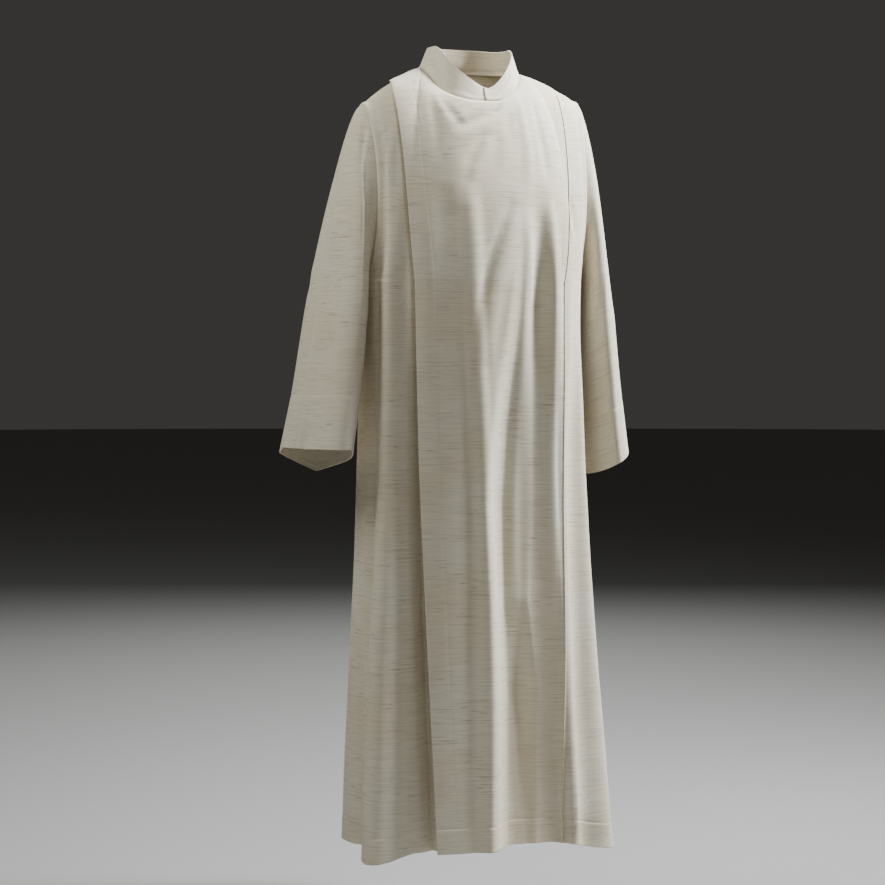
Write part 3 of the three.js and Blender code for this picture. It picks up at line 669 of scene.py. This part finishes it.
class Panel:
    """A cloth piece as a grid of outer points, with what its mesh and its weave need."""

    def __init__(self, name, outer, normals, thickness, closed=False):
        self.name = name
        self.outer = outer
        self.normals = normals
        self.thickness = thickness
        self.closed = closed
        self.round_first = False
        self.round_last = False
        self.cloth_u = None
        self.cloth_v = None
        self.stitch_along = np.zeros(outer.shape[:2])
        self.stitch_away = np.full(outer.shape[:2], 30.0)

    def add_stitches(self, along, away):
        closer = np.abs(away) < self.stitch_away
        self.stitch_along = np.where(closer, along, self.stitch_along)
        self.stitch_away = np.where(closer, np.abs(away), self.stitch_away)

    def build(self, material):
        rows, columns = self.outer.shape[:2]
        inner = self.outer - self.normals * self.thickness[..., None]
        vertices = np.concatenate([self.outer.reshape(-1, 3), inner.reshape(-1, 3)]) * METRES
        layers = (self.cloth_u, self.cloth_v, self.stitch_along, self.stitch_away)
        flat = np.stack([layer.reshape(-1) for layer in layers], axis=-1)
        data = np.concatenate([flat, flat]) * METRES
        index = np.arange(rows * columns).reshape(rows, columns)
        if self.closed:
            index = np.concatenate([index, index[:, :1]], axis=1)
        corners = [index[:-1, :-1], index[1:, :-1], index[1:, 1:], index[:-1, 1:]]
        skin = np.stack(corners, axis=-1).reshape(-1, 4)
        faces = [skin, skin[:, [0, 3, 2, 1]] + rows * columns]
        sharp = []

        def strip(edge, rounded, flip):
            """Join outer and inner skin along an edge; only a folded edge is shaded round."""
            end = edge + rows * columns
            quads = np.stack([edge[:-1], end[:-1], end[1:], edge[1:]], axis=-1)
            faces.append(quads[:, ::-1] if flip else quads)
            if not rounded:
                sharp.extend([quads[:, [0, 3]], quads[:, [1, 2]]])

        strip(index[0], False, True)
        strip(index[-1], True, False)
        if not self.closed:
            strip(index[:, 0], self.round_first, False)
            strip(index[:, -1], self.round_last, True)
        faces = np.concatenate(faces)
        corners = vertices[faces]
        volume = np.einsum("ij,ij->", corners[:, 0], np.cross(corners[:, 1], corners[:, 2]))
        volume += np.einsum("ij,ij->", corners[:, 0], np.cross(corners[:, 2], corners[:, 3]))
        if volume < 0:
            faces = faces[:, ::-1]
        mesh = bpy.data.meshes.new(self.name)
        mesh.from_pydata(vertices.tolist(), [], faces.tolist())
        for layer, first in (("cloth", 0), ("stitch", 2)):
            uv = mesh.uv_layers.new(name=layer)
            values = data[faces.reshape(-1), first:first + 2]
            uv.data.foreach_set("uv", values.astype(np.float32).reshape(-1))
        mesh.polygons.foreach_set("use_smooth", np.ones(len(mesh.polygons), bool))
        pairs = np.zeros(2 * len(mesh.edges), np.int64)
        mesh.edges.foreach_get("vertices", pairs)
        pairs = np.sort(pairs.reshape(-1, 2), axis=1)
        seams = np.sort(np.concatenate(sharp), axis=1)
        key = len(vertices)
        is_sharp = np.isin(pairs[:, 0] * key + pairs[:, 1], seams[:, 0] * key + seams[:, 1])
        mesh.edges.foreach_set("use_edge_sharp", is_sharp)
        mesh.materials.append(material)
        mesh.update()
        piece = bpy.data.objects.new(self.name, mesh)
        bpy.context.scene.collection.objects.link(piece)
        self.area = self.one_side_area()
        return piece

    def one_side_area(self):
        grid = np.concatenate([self.outer, self.outer[:, :1]], axis=1) if self.closed else self.outer
        along = np.diff(grid, axis=1)[:-1]
        down = np.diff(grid, axis=0)[:, :-1]
        return float(np.linalg.norm(np.cross(along, down), axis=-1).sum()) * METRES**2


class Place:
    """Where the points of a stretch of panel lie: angles, levels and distances along the cloth."""

    def __init__(self, column, level, base, across, run):
        self.column = column
        self.level = level
        self.z = base[..., 2]
        self.across = across
        self.from_first = run
        self.from_last = run[:, -1:] - run
        self.from_top = distance_along(base, 0)


def lay_body(half, column, level, creases, extra, seed, across=None):
    """Points of a stretch of a body panel, with its folds, creases and what extra adds."""
    base = body_base(half, column, level)
    run = distance_along(base, 1)
    if across is None:
        centre = np.array([np.interp(90, row, lengths) for row, lengths in zip(column, run)])
        across = centre[:, None] - run
    outward = body_outward(half, column, level, base)
    near_seam = smooth(0, 0.5, level) * smooth(0, 22, column) * smooth(0, 22, 180 - column)
    fade = mix(near_seam, 1, smooth(0.9, 1, level))
    z = base[..., 2]
    offset = fade * folds_at(ring_angle(half, column), z)
    quiet = smooth(0, 0.12, level) * smooth(0, 8, column) * smooth(0, 8, 180 - column)
    offset = offset + quiet * unevenness(across, z, seed)
    offset = offset + crease_field(creases, across, z)
    offset = offset + np.where(level > 1.5, stitched_edge(hem_distance(level), HEM_DEPTH), 0)
    offset = offset + extra(Place(column, level, base, across, run))
    return base + outward * offset[..., None], across


def hem_distance(level):
    return (2 - level) * SKIRT_LENGTH


def cloth_lengths(outer, across_centre, level_row):
    """Woven coordinates: u across from the centre line, v up from the underarm row."""
    run = distance_along(outer, 1)
    fall = distance_along(outer, 0)
    u = run - run[:, across_centre:across_centre + 1]
    v = fall[level_row] - fall
    return u, v


def finish_panel(name, half, outer, column, level, centre, thickness, sides):
    """Wall directions of a panel, with the seams' own directions along its edges, and its weave."""
    outward = body_outward(half, column, level, body_base(half, column, level))
    normals = turned_to(grid_normals(outer, False), outward)
    normals[0] = top_direction(half, column[0])
    for edge, side in sides:
        theta = np.pi * np.minimum(level[:, edge], 1)
        in_armhole = (level[:, edge] < 1 + 1e-6)[:, None]
        down_side = points(side + 0 * theta, 0, 0)
        normals[:, edge] = np.where(in_armhole, armhole_direction(side, half, theta), down_side)
    panel = Panel(name, outer, normals, thickness)
    panel.cloth_u, panel.cloth_v = cloth_lengths(outer, centre, ARMHOLE_ROWS)
    panel.add_stitches(panel.cloth_u, hem_distance(level) - HEM_DEPTH)
    return panel


def doubled_below(depth, distance):
    """Wall thickness of a turned-up edge."""
    return mix(CLOTH, DOUBLED, smooth(depth + 1.5, depth - 1.5, distance))


def back_piece():
    counts = [22, 14, 14, 22]
    column = []
    for level in PANEL_LEVELS:
        neck_line = mix(NECK_ANGLE, 60, smooth(0, 1, level))
        column.append(spread([0, neck_line, 90, 180 - neck_line, 180], counts))
    column = np.array(column)
    level = level_grid(column)

    def extra(at):
        from_side = np.minimum(at.from_first, at.from_last)
        return armhole_relief(from_side, at.level) + seam_relief(at.from_top, **SHOULDER_SEAM)

    outer, _ = lay_body(1, column, level, BACK_CREASES, extra, seed=2.2)
    thickness = doubled_below(HEM_DEPTH, hem_distance(level))
    return finish_panel("back_cloth", 1, outer, column, level, sum(counts[:2]), thickness, [(0, 1), (-1, -1)])


BEYOND_COLUMNS = 8


def front_right_piece():
    column, edge_column = [], []
    for level in PANEL_LEVELS:
        edge = column_at(-line_x(PANEL_EDGE, level), level)
        neck_line = mix(180 - NECK_ANGLE, mix(90, edge, 0.6), smooth(0, 1, level))
        lines = [90, min(neck_line, edge - 6), edge - 3, edge + 4, 180]
        beyond_centre = np.linspace(90 - 1.5 * COLLAR_OVERLAP, 90, BEYOND_COLUMNS + 1)[:-1]
        column.append([*beyond_centre, *spread(lines, [20, 12, 10, 32])])
        edge_column.append(edge)
    column = np.array(column)
    edge_column = np.array(edge_column)[:, None]
    level = level_grid(column)

    def extra(at):
        """The covered part follows the front above it, and a groove runs beside that one's edge."""
        under = -LAP * lapped(at.column)
        under = under + fold_offset(UNDER_VALLEY, at.column, at.z) * smooth(0.3, 0.9, at.level)
        beyond_edge = at.column - edge_column
        covered = 1 - smooth(-8, -1, beyond_edge)
        under = under + covered * (crease_field(FRONT_CREASES, at.across, at.z) - COVERED_GAP)
        groove = bell((beyond_edge - 0.6) / 2.6) * smooth(0.12, 0.35, at.level)
        under = under - EDGE_GROOVE * groove
        return under + armhole_relief(at.from_last, at.level) + seam_relief(at.from_top, **SHOULDER_SEAM)

    outer, _ = lay_body(-1, column, level, UNDER_CREASES, extra, seed=0.7)
    thickness = doubled_below(HEM_DEPTH, hem_distance(level))
    panel = finish_panel("under_front_cloth", -1, outer, column, level, BEYOND_COLUMNS, thickness, [(-1, -1)])
    panel.round_first = True
    return panel


# The pressed knife pleat in three layers: distance towards the left side from the pleat's edge in
# pleat depths, distance from the surface of the panel in pleat steps
PLEAT_LAYERS = table(
    "along out",
    (-0.45, -1.0), (-0.75, -1.0), (-0.95, -1.0), (-1.0, -0.93), (-0.95, -0.86), (-0.75, -0.86),
    (-0.45, -0.86), (-0.2, -0.85), (-0.05, -0.82), (0.0, -0.72), (0.04, -0.45), (0.01, -0.16), (-0.06, -0.02),
    (-0.14, 0.0),
)
EDGE_COLUMNS = [46, 41.5, 38.5, 36.6, 35.6, 35, 34.4, 33.4, 31, 27, 22.5, 18, 14, 10, 6.5, 3.5, 1.2, 0]


def pleat_step(level):
    """How deep the pleat lies under its edge: pressed flat on the chest, open at the hem."""
    lying = mix(PLEAT_PRESSED, PLEAT["step"], smooth(0.9, 1.7, level))
    return lying + PLEAT_OPEN_AT_HEM * smooth(1.93, 2, level)


def columns_from_edge(level):
    """Columns at set distances along the cloth from the free edge, on one level."""
    edge = column_at(-line_x(PANEL_EDGE, level), level)
    fine = np.linspace(edge, edge - 50, 101)[None]
    run = distance_along(body_base(-1, fine, np.full(fine.shape, float(level))), 1)[0]
    return list(np.interp(EDGE_COLUMNS, run, fine[0]))


def outside_facing(from_edge, from_top):
    """Distance from the line of stitches round the facing, which starts below the shoulder."""
    return np.maximum(from_edge - FACING_DEPTH, FACING_START - from_top)


def front_left_piece():
    counts = [18, 24, 20, 6]
    left, right, pleat_column = [], [], []
    for level in PANEL_LEVELS:
        pleat = column_at(line_x(PLEAT, level), level)
        near_edge = columns_from_edge(level)
        neck_left = mix(NECK_ANGLE, mix(pleat, 90, 0.4), smooth(0, 1, level))
        neck_right = mix(180 - NECK_ANGLE, mix(90, near_edge[0], 0.7), smooth(0, 1, level))
        neck_right = min(neck_right, near_edge[0] - 3)
        left.append(spread([0, pleat], [24]))
        middle = spread([pleat, neck_left, 90, neck_right, near_edge[0]], counts, ease=1.3)
        right.append(middle[1:] + near_edge[1:])
        pleat_column.append(pleat)
    left, right = np.array(left), np.array(right)
    pleat_column = np.array(pleat_column)[:, None]

    def over(at):
        """The lap over the under front."""
        return (LAP + 0.6) * smooth(93, 112, at.column)

    def extra(at):
        beyond = at.column < pleat_column + 1e-6
        stepped = np.where(beyond, -pleat_step(at.level) * smooth(0.3, 1, at.column / pleat_column), 0)
        facing = outside_facing(at.from_last, at.from_top)
        strength = mix(1.0, 0.6, smooth(-200, -330, at.z))
        facing_line = strength * (0.35 * stitched_edge(facing + 9, 9) - 0.08 * bell(facing / 3.2))
        proud = 0
        for roll in EDGE_ROLLS:
            there = smooth(*roll["comes"], at.from_top) * (1 - smooth(*roll["goes"], at.from_top))
            proud = proud + roll["height"] * bell(at.from_last / roll["width"]) * there
        seams = armhole_relief(at.from_first, at.level) + seam_relief(at.from_top, **SHOULDER_SEAM)
        return over(at) + stepped + facing_line + proud + seams

    def between(middle, whole):
        """A grid with something put in between the columns left and right of the pleat."""
        return np.concatenate([whole[:, :left.shape[1]], middle, whole[:, left.shape[1]:]], axis=1)

    whole = np.concatenate([left, right], axis=1)
    outer, across = lay_body(-1, whole, level_grid(whole), FRONT_CREASES, extra, seed=1.4)

    # The pleat's layers follow the surface of the panel
    beside = np.concatenate([pleat_column - 0.5, pleat_column + 0.5], axis=1)
    per_degree = distance_along(body_base(-1, beside, level_grid(beside)), 1)[:, 1:]
    along = np.array([[layer["along"] for layer in PLEAT_LAYERS]]) * PLEAT["depth"]
    out = np.array([[layer["out"] for layer in PLEAT_LAYERS]])
    fold_column = pleat_column - along / per_degree
    fold_level = level_grid(fold_column)
    fold_across = np.array([np.interp(*row) for row in zip(fold_column, whole, across)])
    surface, _ = lay_body(-1, fold_column, fold_level, FRONT_CREASES, over, seed=1.4, across=fold_across)
    outward = body_outward(-1, fold_column, fold_level, surface)
    folded = surface + outward * (out * pleat_step(PANEL_LEVELS)[:, None])[..., None]

    outer = between(folded, outer)
    column = between(np.repeat(pleat_column, folded.shape[1], axis=1), whole)
    level = level_grid(column)
    whole_base = body_base(-1, whole, level_grid(whole))
    from_edge = distance_along(whole_base, 1)
    far = np.full(fold_column.shape, 200.0)
    from_edge = between(far, from_edge[:, -1:] - from_edge)
    from_top = between(far, distance_along(whole_base, 0))
    facing = outside_facing(from_edge, from_top)
    hem = doubled_below(HEM_DEPTH, hem_distance(level))
    thickness = np.maximum(hem, doubled_below(0, facing))
    centre = left.shape[1] + folded.shape[1] + sum(counts[:2])
    panel = finish_panel("outer_front_cloth", -1, outer, column, level, centre, thickness, [(0, 1)])
    panel.round_last = True
    beside_edge = from_edge - FACING_DEPTH > FACING_START - from_top
    panel.add_stitches(np.where(beside_edge, panel.cloth_v, panel.cloth_u), facing)
    return panel


# Sleeves, as in the part


def armhole_point(side, theta):
    half = np.where(np.sin(theta) >= 0, -1, 1)
    level = np.where(theta <= np.pi, theta / np.pi, 2 - theta / np.pi)
    column = np.full(theta.shape, 0.0 if side > 0 else 180.0)
    front = body_base(-1, column, level)
    back = body_base(1, column, level)
    return np.where((half < 0)[..., None], front, back)


def sleeve_ring(side, theta, z):
    half = section(SLEEVE_SECTIONS, "half_width", z)
    depth = section(SLEEVE_SECTIONS, "half_depth", z)
    turn = np.radians(section(SLEEVE_SECTIONS, "turn", z))
    exponent = 2 / SLEEVE_SQUARENESS
    outwards = half * power(np.cos(theta), exponent)
    forwards = depth * power(np.sin(theta), exponent)
    x = outwards * np.cos(turn) - forwards * np.sin(turn)
    y = -forwards * np.cos(turn) - outwards * np.sin(turn)
    drop = CUFF_DROP_LEFT * smooth(SLEEVE_SECTIONS[0]["z"], SLEEVE_SECTIONS[-1]["z"], z) if side > 0 else 0
    lift = section(SLEEVE_SECTIONS, "lift", z) / 2 * np.cos(theta)
    if side < 0:
        away = np.abs(angle_between(np.degrees(theta), CUFF_POINT["angle"])) / CUFF_POINT["reach"]
        pointed = CUFF_POINT["lift"] - CUFF_POINT["depth"] * np.clip(1 - away, 0, None)
        lift = mix(lift, pointed, smooth(CUFF_POINT["start"], CUFF_POINT["end"], z))
    x = side * (section(SLEEVE_SECTIONS, "x", z) + x)
    return points(x, section(SLEEVE_SECTIONS, "y", z) + y, z + lift - drop)


def sleeve_surface(side, theta, level):
    upper, cuff = SLEEVE_SECTIONS[0]["z"], SLEEVE_SECTIONS[-1]["z"]
    lower = sleeve_ring(side, theta, mix(upper, cuff, np.maximum(level - 1, 0)))
    start = armhole_point(side, theta)
    end = sleeve_ring(side, theta, upper + 0 * theta)
    length = np.linalg.norm(end - start, axis=-1, keepdims=True)
    under = ((1 - np.cos(theta)) / 2)[..., None]
    leave = normalize(np.array([side, 0, -0.8])) * length * mix(0.3, 0.5, under)
    arrive = normalize(np.array([side * 0.18, 0, -1])) * length * 0.9
    cap = curve(np.minimum(level, 1)[..., None], start, leave, end, arrive)
    return np.where((level >= 1)[..., None], lower, cap)


SLEEVE_COLUMNS = 108
CAP_ROWS = 66
LOWER_LENGTH = SLEEVE_SECTIONS[0]["z"] - SLEEVE_SECTIONS[-1]["z"]
CUFF_ROWS = [
    110, 100, 96, 94, 93, 92.5, 92, 91.5, 90.5, 88, 82, 74, 66, 58, 50, 42, 34, 26, 18, 11, 6, 2.5, 1, 0,
]
SLEEVE_LEVELS = np.concatenate([
    np.arange(CAP_ROWS) / CAP_ROWS,
    np.linspace(1, 2 - (CUFF_ROWS[0] + 5) / LOWER_LENGTH, 26),
    2 - np.array(CUFF_ROWS) / LOWER_LENGTH,
])


def sleeve_piece(name, side, creases, seed):
    theta = 2 * np.pi * np.arange(SLEEVE_COLUMNS) / SLEEVE_COLUMNS
    theta, level = np.meshgrid(theta, SLEEVE_LEVELS)
    base = sleeve_surface(side, theta, level)
    run = distance_along(base, 1)
    around = run[:, -1:] + np.linalg.norm(base[:, -1] - base[:, 0], axis=-1)[:, None]
    ahead = np.where(run > around / 2, run - around, run)
    fall = distance_along(base, 0)
    cuff_distance = (2 - level) * LOWER_LENGTH
    roughly_out = points(side * np.cos(theta), -np.sin(theta), 0.2)
    outward = turned_to(grid_normals(base, True), roughly_out)
    offset = smooth(0, 0.15, level) * unevenness(ahead, base[..., 2], seed)
    offset = offset + crease_field(creases, ahead, base[..., 2])
    offset = offset + np.where(level > 1.3, stitched_edge(cuff_distance, CUFF_DEPTH), 0)
    from_underarm_seam = around / 2 - np.abs(ahead)
    offset = offset - 0.8 * bell(fall / 3.0) - 0.7 * bell(from_underarm_seam / 3.0)
    outer = base + outward * offset[..., None]
    normals = turned_to(grid_normals(outer, True), roughly_out)
    half = np.where(np.sin(theta[0]) >= 0, -1, 1)
    folded = np.where(theta[0] <= np.pi, theta[0], 2 * np.pi - theta[0])
    normals[0] = armhole_direction(side, half, folded)
    normals[0, 0] = shoulder_tip_direction(side)
    panel = Panel(name, outer, normals, doubled_below(CUFF_DEPTH, cuff_distance), closed=True)
    panel.cloth_u = distance_along(outer, 1)
    length = distance_along(outer, 0)
    panel.cloth_v = length[-1:] - length
    panel.add_stitches(panel.cloth_u, cuff_distance - CUFF_DEPTH)
    return panel


# Collar, as in the part


def collar_top_drop(across, forward):
    """Drop of the collar's top edge: a V at the front, whose right arm is straight."""
    away = np.abs(across)
    straight = COLLAR_SLOPE["right_straight"]
    right_rise = straight * away + (1 - straight) * away ** COLLAR_SLOPE["right"]
    rise = np.where(across > 0, away ** COLLAR_SLOPE["left"], right_rise)
    return np.where(forward > 0, COLLAR_TOP["drop_front"] * (1 - rise), COLLAR_TOP["drop_back"] * forward**2)


def collar_point(angle, level):
    base = neck_point(angle)
    across, forward = across_forward(angle)
    exponent = neck_exponent(across, forward)
    reach = np.where(forward > 0, COLLAR_TOP["front"], COLLAR_TOP["back"])
    top = points(
        COLLAR_TOP["half"] * power(across, exponent),
        -reach * power(forward, exponent),
        COLLAR_TOP["side"] - collar_top_drop(across, forward),
    )
    return mix(base, top, level[..., None])


COLLAR_LEVELS = [0, 0.03, 0.07, 0.13, 0.2, 0.28, 0.36, 0.45, 0.54, 0.63, 0.72, 0.8, 0.86, 0.9, 0.94, 0.98, 1]
COLLAR_LEAN_RIGHT = 4


def collar_piece():
    """The doubled band from its right end behind the left one, round the neck to the left end."""
    right_end = [90 - COLLAR_OVERLAP, 90 - COLLAR_OVERLAP / 2]
    left_end = [450 + COLLAR_END / 2, 450 + COLLAR_END - 0.3, 450 + COLLAR_END]
    angles = np.concatenate([right_end, np.linspace(90, 450, 161), left_end])
    angle, level = np.meshgrid(angles, COLLAR_LEVELS)
    column = NECK_ANGLE + (180 - 2 * NECK_ANGLE) * angle / 180
    lift = np.where(angle < 200, -COLLAR_BEHIND * lapped(column), 0)
    lift = lift - COLLAR_LEAN_RIGHT * level * bell(angle_between(angle, 180) / 70)
    across, forward = across_forward(angle)
    radial = points(across, -forward, 0)
    seam = neck_direction(angle)
    outwards = normalize(mix(seam, radial, np.minimum(1, level * 2)[..., None]))
    turn = 0.5 * np.sin(np.radians(angle) * 5 + 1) + 0.4 * np.sin(np.radians(angle) * 9)
    lift = lift + turn * np.sin(np.pi * level) + 0.9 * bell((level - 0.14) / 0.14) - 0.5 * bell(level / 0.05)
    outer = collar_point(angle, level) + outwards * lift[..., None]
    normals = turned_to(grid_normals(outer, False), radial)
    normals[0] = seam[0]
    panel = Panel("collar_cloth", outer[::-1], normals[::-1], np.full(angle.shape, DOUBLED))
    panel.round_first = True
    panel.round_last = True
    panel.cloth_u = distance_along(panel.outer, 1)
    panel.cloth_v = distance_along(panel.outer, 0)
    return panel


# Materials


class Nodes:
    """Small helper to add and link nodes of one material."""

    def __init__(self, name):
        self.material = bpy.data.materials.new(name)
        self.material.use_nodes = True
        self.tree = self.material.node_tree
        self.tree.nodes.clear()

    def add(self, kind, inputs=(), **settings):
        node = self.tree.nodes.new(kind)
        for key, value in settings.items():
            setattr(node, key, value)
        for key, value in dict(inputs).items():
            socket = node.inputs[key]
            if isinstance(value, bpy.types.NodeSocket):
                self.tree.links.new(value, socket)
            else:
                socket.default_value = value
        return node

    def math(self, operation, a, b=0.0):
        return self.add("ShaderNodeMath", {0: a, 1: b}, operation=operation).outputs[0]

    def times(self, a, b):
        return self.math("MULTIPLY", a, b)

    def plus(self, a, b):
        return self.math("ADD", a, b)

    def sine(self, value, waves):
        return self.math("SINE", self.times(value, 2 * math.pi * waves))

    def noise(self, vector, scale, detail=2.0, roughness=0.5):
        mapped = self.add("ShaderNodeMapping", {"Vector": vector, "Scale": scale})
        inputs = {"Vector": mapped.outputs[0], "Scale": 1.0, "Detail": detail, "Roughness": roughness}
        return self.add("ShaderNodeTexNoise", inputs).outputs["Fac"]

    def ramp(self, value, low, high):
        inputs = {0: value, 1: low, 2: high, 3: 0.0, 4: 1.0}
        return self.add("ShaderNodeMapRange", inputs, interpolation_type="SMOOTHSTEP").outputs[0]

    def mix_color(self, share, a, b):
        return self.add("ShaderNodeMix", {0: share, 6: a, 7: b}, data_type="RGBA").outputs[2]

    def finish(self, **inputs):
        """The shader, from its inputs' names with a low line for each space."""
        named = {key.replace("_", " "): value for key, value in inputs.items()}
        shader = self.add("ShaderNodeBsdfPrincipled", named)
        self.add("ShaderNodeOutputMaterial", {0: shader.outputs[0]})
        return self.material


# Colours, threads to the metre and lengths in metres
CREAM = (0.73, 0.67, 0.53, 1)
WARM_CREAM = (0.70, 0.615, 0.455, 1)
# The slubs' own brown, also used to paint the shade in the stitch holes
SLUB_AND_STITCH_SHADE_BROWN = (0.30, 0.24, 0.16, 1)
SLUB_GREY = (0.42, 0.38, 0.30, 1)
THREADS_ACROSS = 1500
THREADS_UP = 1350
WEAVE_DEPTH = 0.00004
STITCH_LENGTH = 0.0034


def linen_material():
    """Slubbed plain weave in the woven coordinates of each piece, in metres."""
    n = Nodes("slub_linen")
    cloth = n.add("ShaderNodeUVMap", uv_map="cloth").outputs[0]
    u, v = n.add("ShaderNodeSeparateXYZ", {0: cloth}).outputs[:2]

    # Thick and thin weft threads, thin long ones and shorter slubs
    long_threads = n.noise(cloth, (11, 360, 1), detail=3.0, roughness=0.6)
    short_threads = n.noise(cloth, (30, 330, 1))
    fine_threads = n.noise(cloth, (17, 560, 1))
    clusters = n.noise(cloth, (7, 26, 1))
    warp_threads = n.noise(cloth, (900, 5, 1))
    patches = n.noise(cloth, (5, 7, 1), detail=3.0)

    gate = n.ramp(clusters, 0.38, 0.66)
    long_slubs = n.times(n.ramp(long_threads, 0.55, 0.70), n.plus(n.times(gate, 0.65), 0.35))
    short_slubs = n.times(n.ramp(short_threads, 0.58, 0.72), n.plus(n.times(gate, 0.8), 0.2))
    streaks = n.ramp(fine_threads, 0.42, 0.72)

    base = n.mix_color(n.ramp(patches, 0.35, 0.7), CREAM, WARM_CREAM)
    base = n.mix_color(n.times(streaks, 0.42), base, SLUB_GREY)
    base = n.mix_color(n.times(n.ramp(warp_threads, 0.5, 0.8), 0.07), base, SLUB_GREY)
    base = n.mix_color(n.times(long_slubs, 0.55), base, SLUB_AND_STITCH_SHADE_BROWN)
    base = n.mix_color(n.times(short_slubs, 0.65), base, SLUB_AND_STITCH_SHADE_BROWN)

    # Stitch holes dip into the cloth; the shade in them is painted into the colour, towards the slub brown
    stitch = n.add("ShaderNodeUVMap", uv_map="stitch").outputs[0]
    along, away = n.add("ShaderNodeSeparateXYZ", {0: stitch}).outputs[:2]
    on_line = n.math("SUBTRACT", 1.0, n.ramp(away, 0.0002, 0.0008))
    phase = n.math("FRACT", n.math("DIVIDE", along, STITCH_LENGTH))
    from_middle = n.math("ABSOLUTE", n.math("SUBTRACT", phase, 0.5))
    hole = n.times(on_line, n.ramp(from_middle, 0.34, 0.46))
    # Painted shade: the stitch holes are darkened in the colour
    base = n.mix_color(n.times(hole, 0.55), base, SLUB_AND_STITCH_SHADE_BROWN)

    # Relief: plain weave, thread thickness and stitch holes
    height = n.times(n.times(n.sine(u, THREADS_ACROSS / 2), n.sine(v, THREADS_UP / 2)), WEAVE_DEPTH)
    height = n.plus(height, n.times(long_threads, 0.00035))
    height = n.plus(height, n.times(short_slubs, 0.00018))
    height = n.plus(height, n.times(fine_threads, 0.00015))
    height = n.math("SUBTRACT", height, n.times(hole, 0.0004))
    bump = n.add("ShaderNodeBump", {"Height": height, "Strength": 0.55, "Distance": 1.0})

    return n.finish(
        Base_Color=base, Roughness=0.86, Specular_IOR_Level=0.28, Normal=bump.outputs[0],
        Sheen_Weight=0.22, Sheen_Roughness=0.45, Sheen_Tint=(1.0, 0.97, 0.9, 1))


# The pieces
linen = linen_material()
PIECES = table(
    "panel node flat",
    (back_piece(), "back", (0.74, 1.40)),
    (front_right_piece(), "front_right", (0.62, 1.40)),
    (front_left_piece(), "front_left", (0.82, 1.42)),
    (sleeve_piece("sleeve_right_cloth", -1, SLEEVE_RIGHT_CREASES, 0.4), "sleeve_right", (0.42, 0.62)),
    (sleeve_piece("sleeve_left_cloth", 1, SLEEVE_LEFT_CREASES, 1.9), "sleeve_left", (0.42, 0.64)),
    (collar_piece(), "collar", (0.52, 0.05)),
)
for row in PIECES:
    panel = row["panel"]
    piece = panel.build(linen)
    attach(piece, "root")
    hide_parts(row["node"])

# Floor, light and camera
FLOOR_GAP = 0.12
FLOOR_RADIUS = 30.0
PALE_GREY = (0.28, 0.28, 0.27, 1)
WORLD_LIGHT = (0.90, 0.86, 0.80, 1)
WORLD_STRENGTH = 0.048

floor_place = (0, 0, cad_low.z - FLOOR_GAP)
bpy.ops.mesh.primitive_circle_add(vertices=96, radius=FLOOR_RADIUS, fill_type="NGON", location=floor_place)
floor = bpy.context.object
floor.name = "floor"
floor.data.materials.append(Nodes("pale_floor").finish(Base_Color=PALE_GREY, Roughness=0.8))

world = bpy.data.worlds.new("studio")
world.use_nodes = True
background = world.node_tree.nodes["Background"]
background.inputs["Color"].default_value = WORLD_LIGHT
background.inputs["Strength"].default_value = WORLD_STRENGTH
bpy.context.scene.world = world


def soft_light(name, azimuth, elevation, distance, size, energy, color, height):
    """A round area light that points at a height of the object's middle line."""
    aim = Vector((0, 0, height))
    a, e = math.radians(azimuth), math.radians(elevation)
    away = Vector((math.sin(a) * math.cos(e), -math.cos(a) * math.cos(e), math.sin(e)))
    light = bpy.data.lights.new(name, "AREA")
    light.shape = "DISK"
    light.size = size
    light.energy = energy
    light.color = color
    lamp = bpy.data.objects.new(name, light)
    lamp.location = aim + away * distance
    lamp.rotation_mode = "QUATERNION"
    lamp.rotation_quaternion = (-away).to_track_quat("-Z", "Y")
    bpy.context.scene.collection.objects.link(lamp)


# Azimuth 0 is in front of the object and 90 at its left side
LIGHTS = table(
    "name azimuth elevation distance size energy color height",
    ("key", 76, 42, 2.1, 0.65, 252, (0.94, 0.96, 1.0), -0.13),
    ("fill", -92, 33, 1.9, 1.1, 31, (0.98, 1.0, 0.95), 0.08),
    ("top", -30, 48, 2.0, 1.2, 12, (1.0, 0.98, 0.95), -0.1),
    ("rear", 155, 30, 5.0, 2.0, 130, (1.0, 1.0, 1.0), -0.6),
)
for row in LIGHTS:
    soft_light(**row)

# The camera stands at the wearer's right in front, at the height of the waist
CAMERA_AZIMUTH = -25
CAMERA_DISTANCE = 4.2
CAMERA_HEIGHT = -0.5
FOCAL_PIXELS = 2400
SENSOR = 36.0
AXIS_PIXEL_X = 469
HORIZON_PIXEL_Y = 359.5

camera_data = bpy.data.cameras.new("camera")
camera_data.sensor_width = SENSOR
camera_data.lens = SENSOR * FOCAL_PIXELS / IMAGE_SIZE
camera = bpy.data.objects.new("camera", camera_data)
bpy.context.scene.collection.objects.link(camera)
a = math.radians(CAMERA_AZIMUTH)
camera.location = (CAMERA_DISTANCE * math.sin(a), -CAMERA_DISTANCE * math.cos(a), CAMERA_HEIGHT)
forward = Vector((-math.sin(a), math.cos(a), 0))
right = Vector((math.cos(a), math.sin(a), 0))
sideways = (IMAGE_SIZE / 2 - AXIS_PIXEL_X) / FOCAL_PIXELS
downwards = (IMAGE_SIZE / 2 - HORIZON_PIXEL_Y) / FOCAL_PIXELS
look = forward + right * sideways - Vector((0, 0, downwards))
camera.rotation_mode = "QUATERNION"
camera.rotation_quaternion = look.to_track_quat("-Z", "Y")
bpy.context.scene.camera = camera
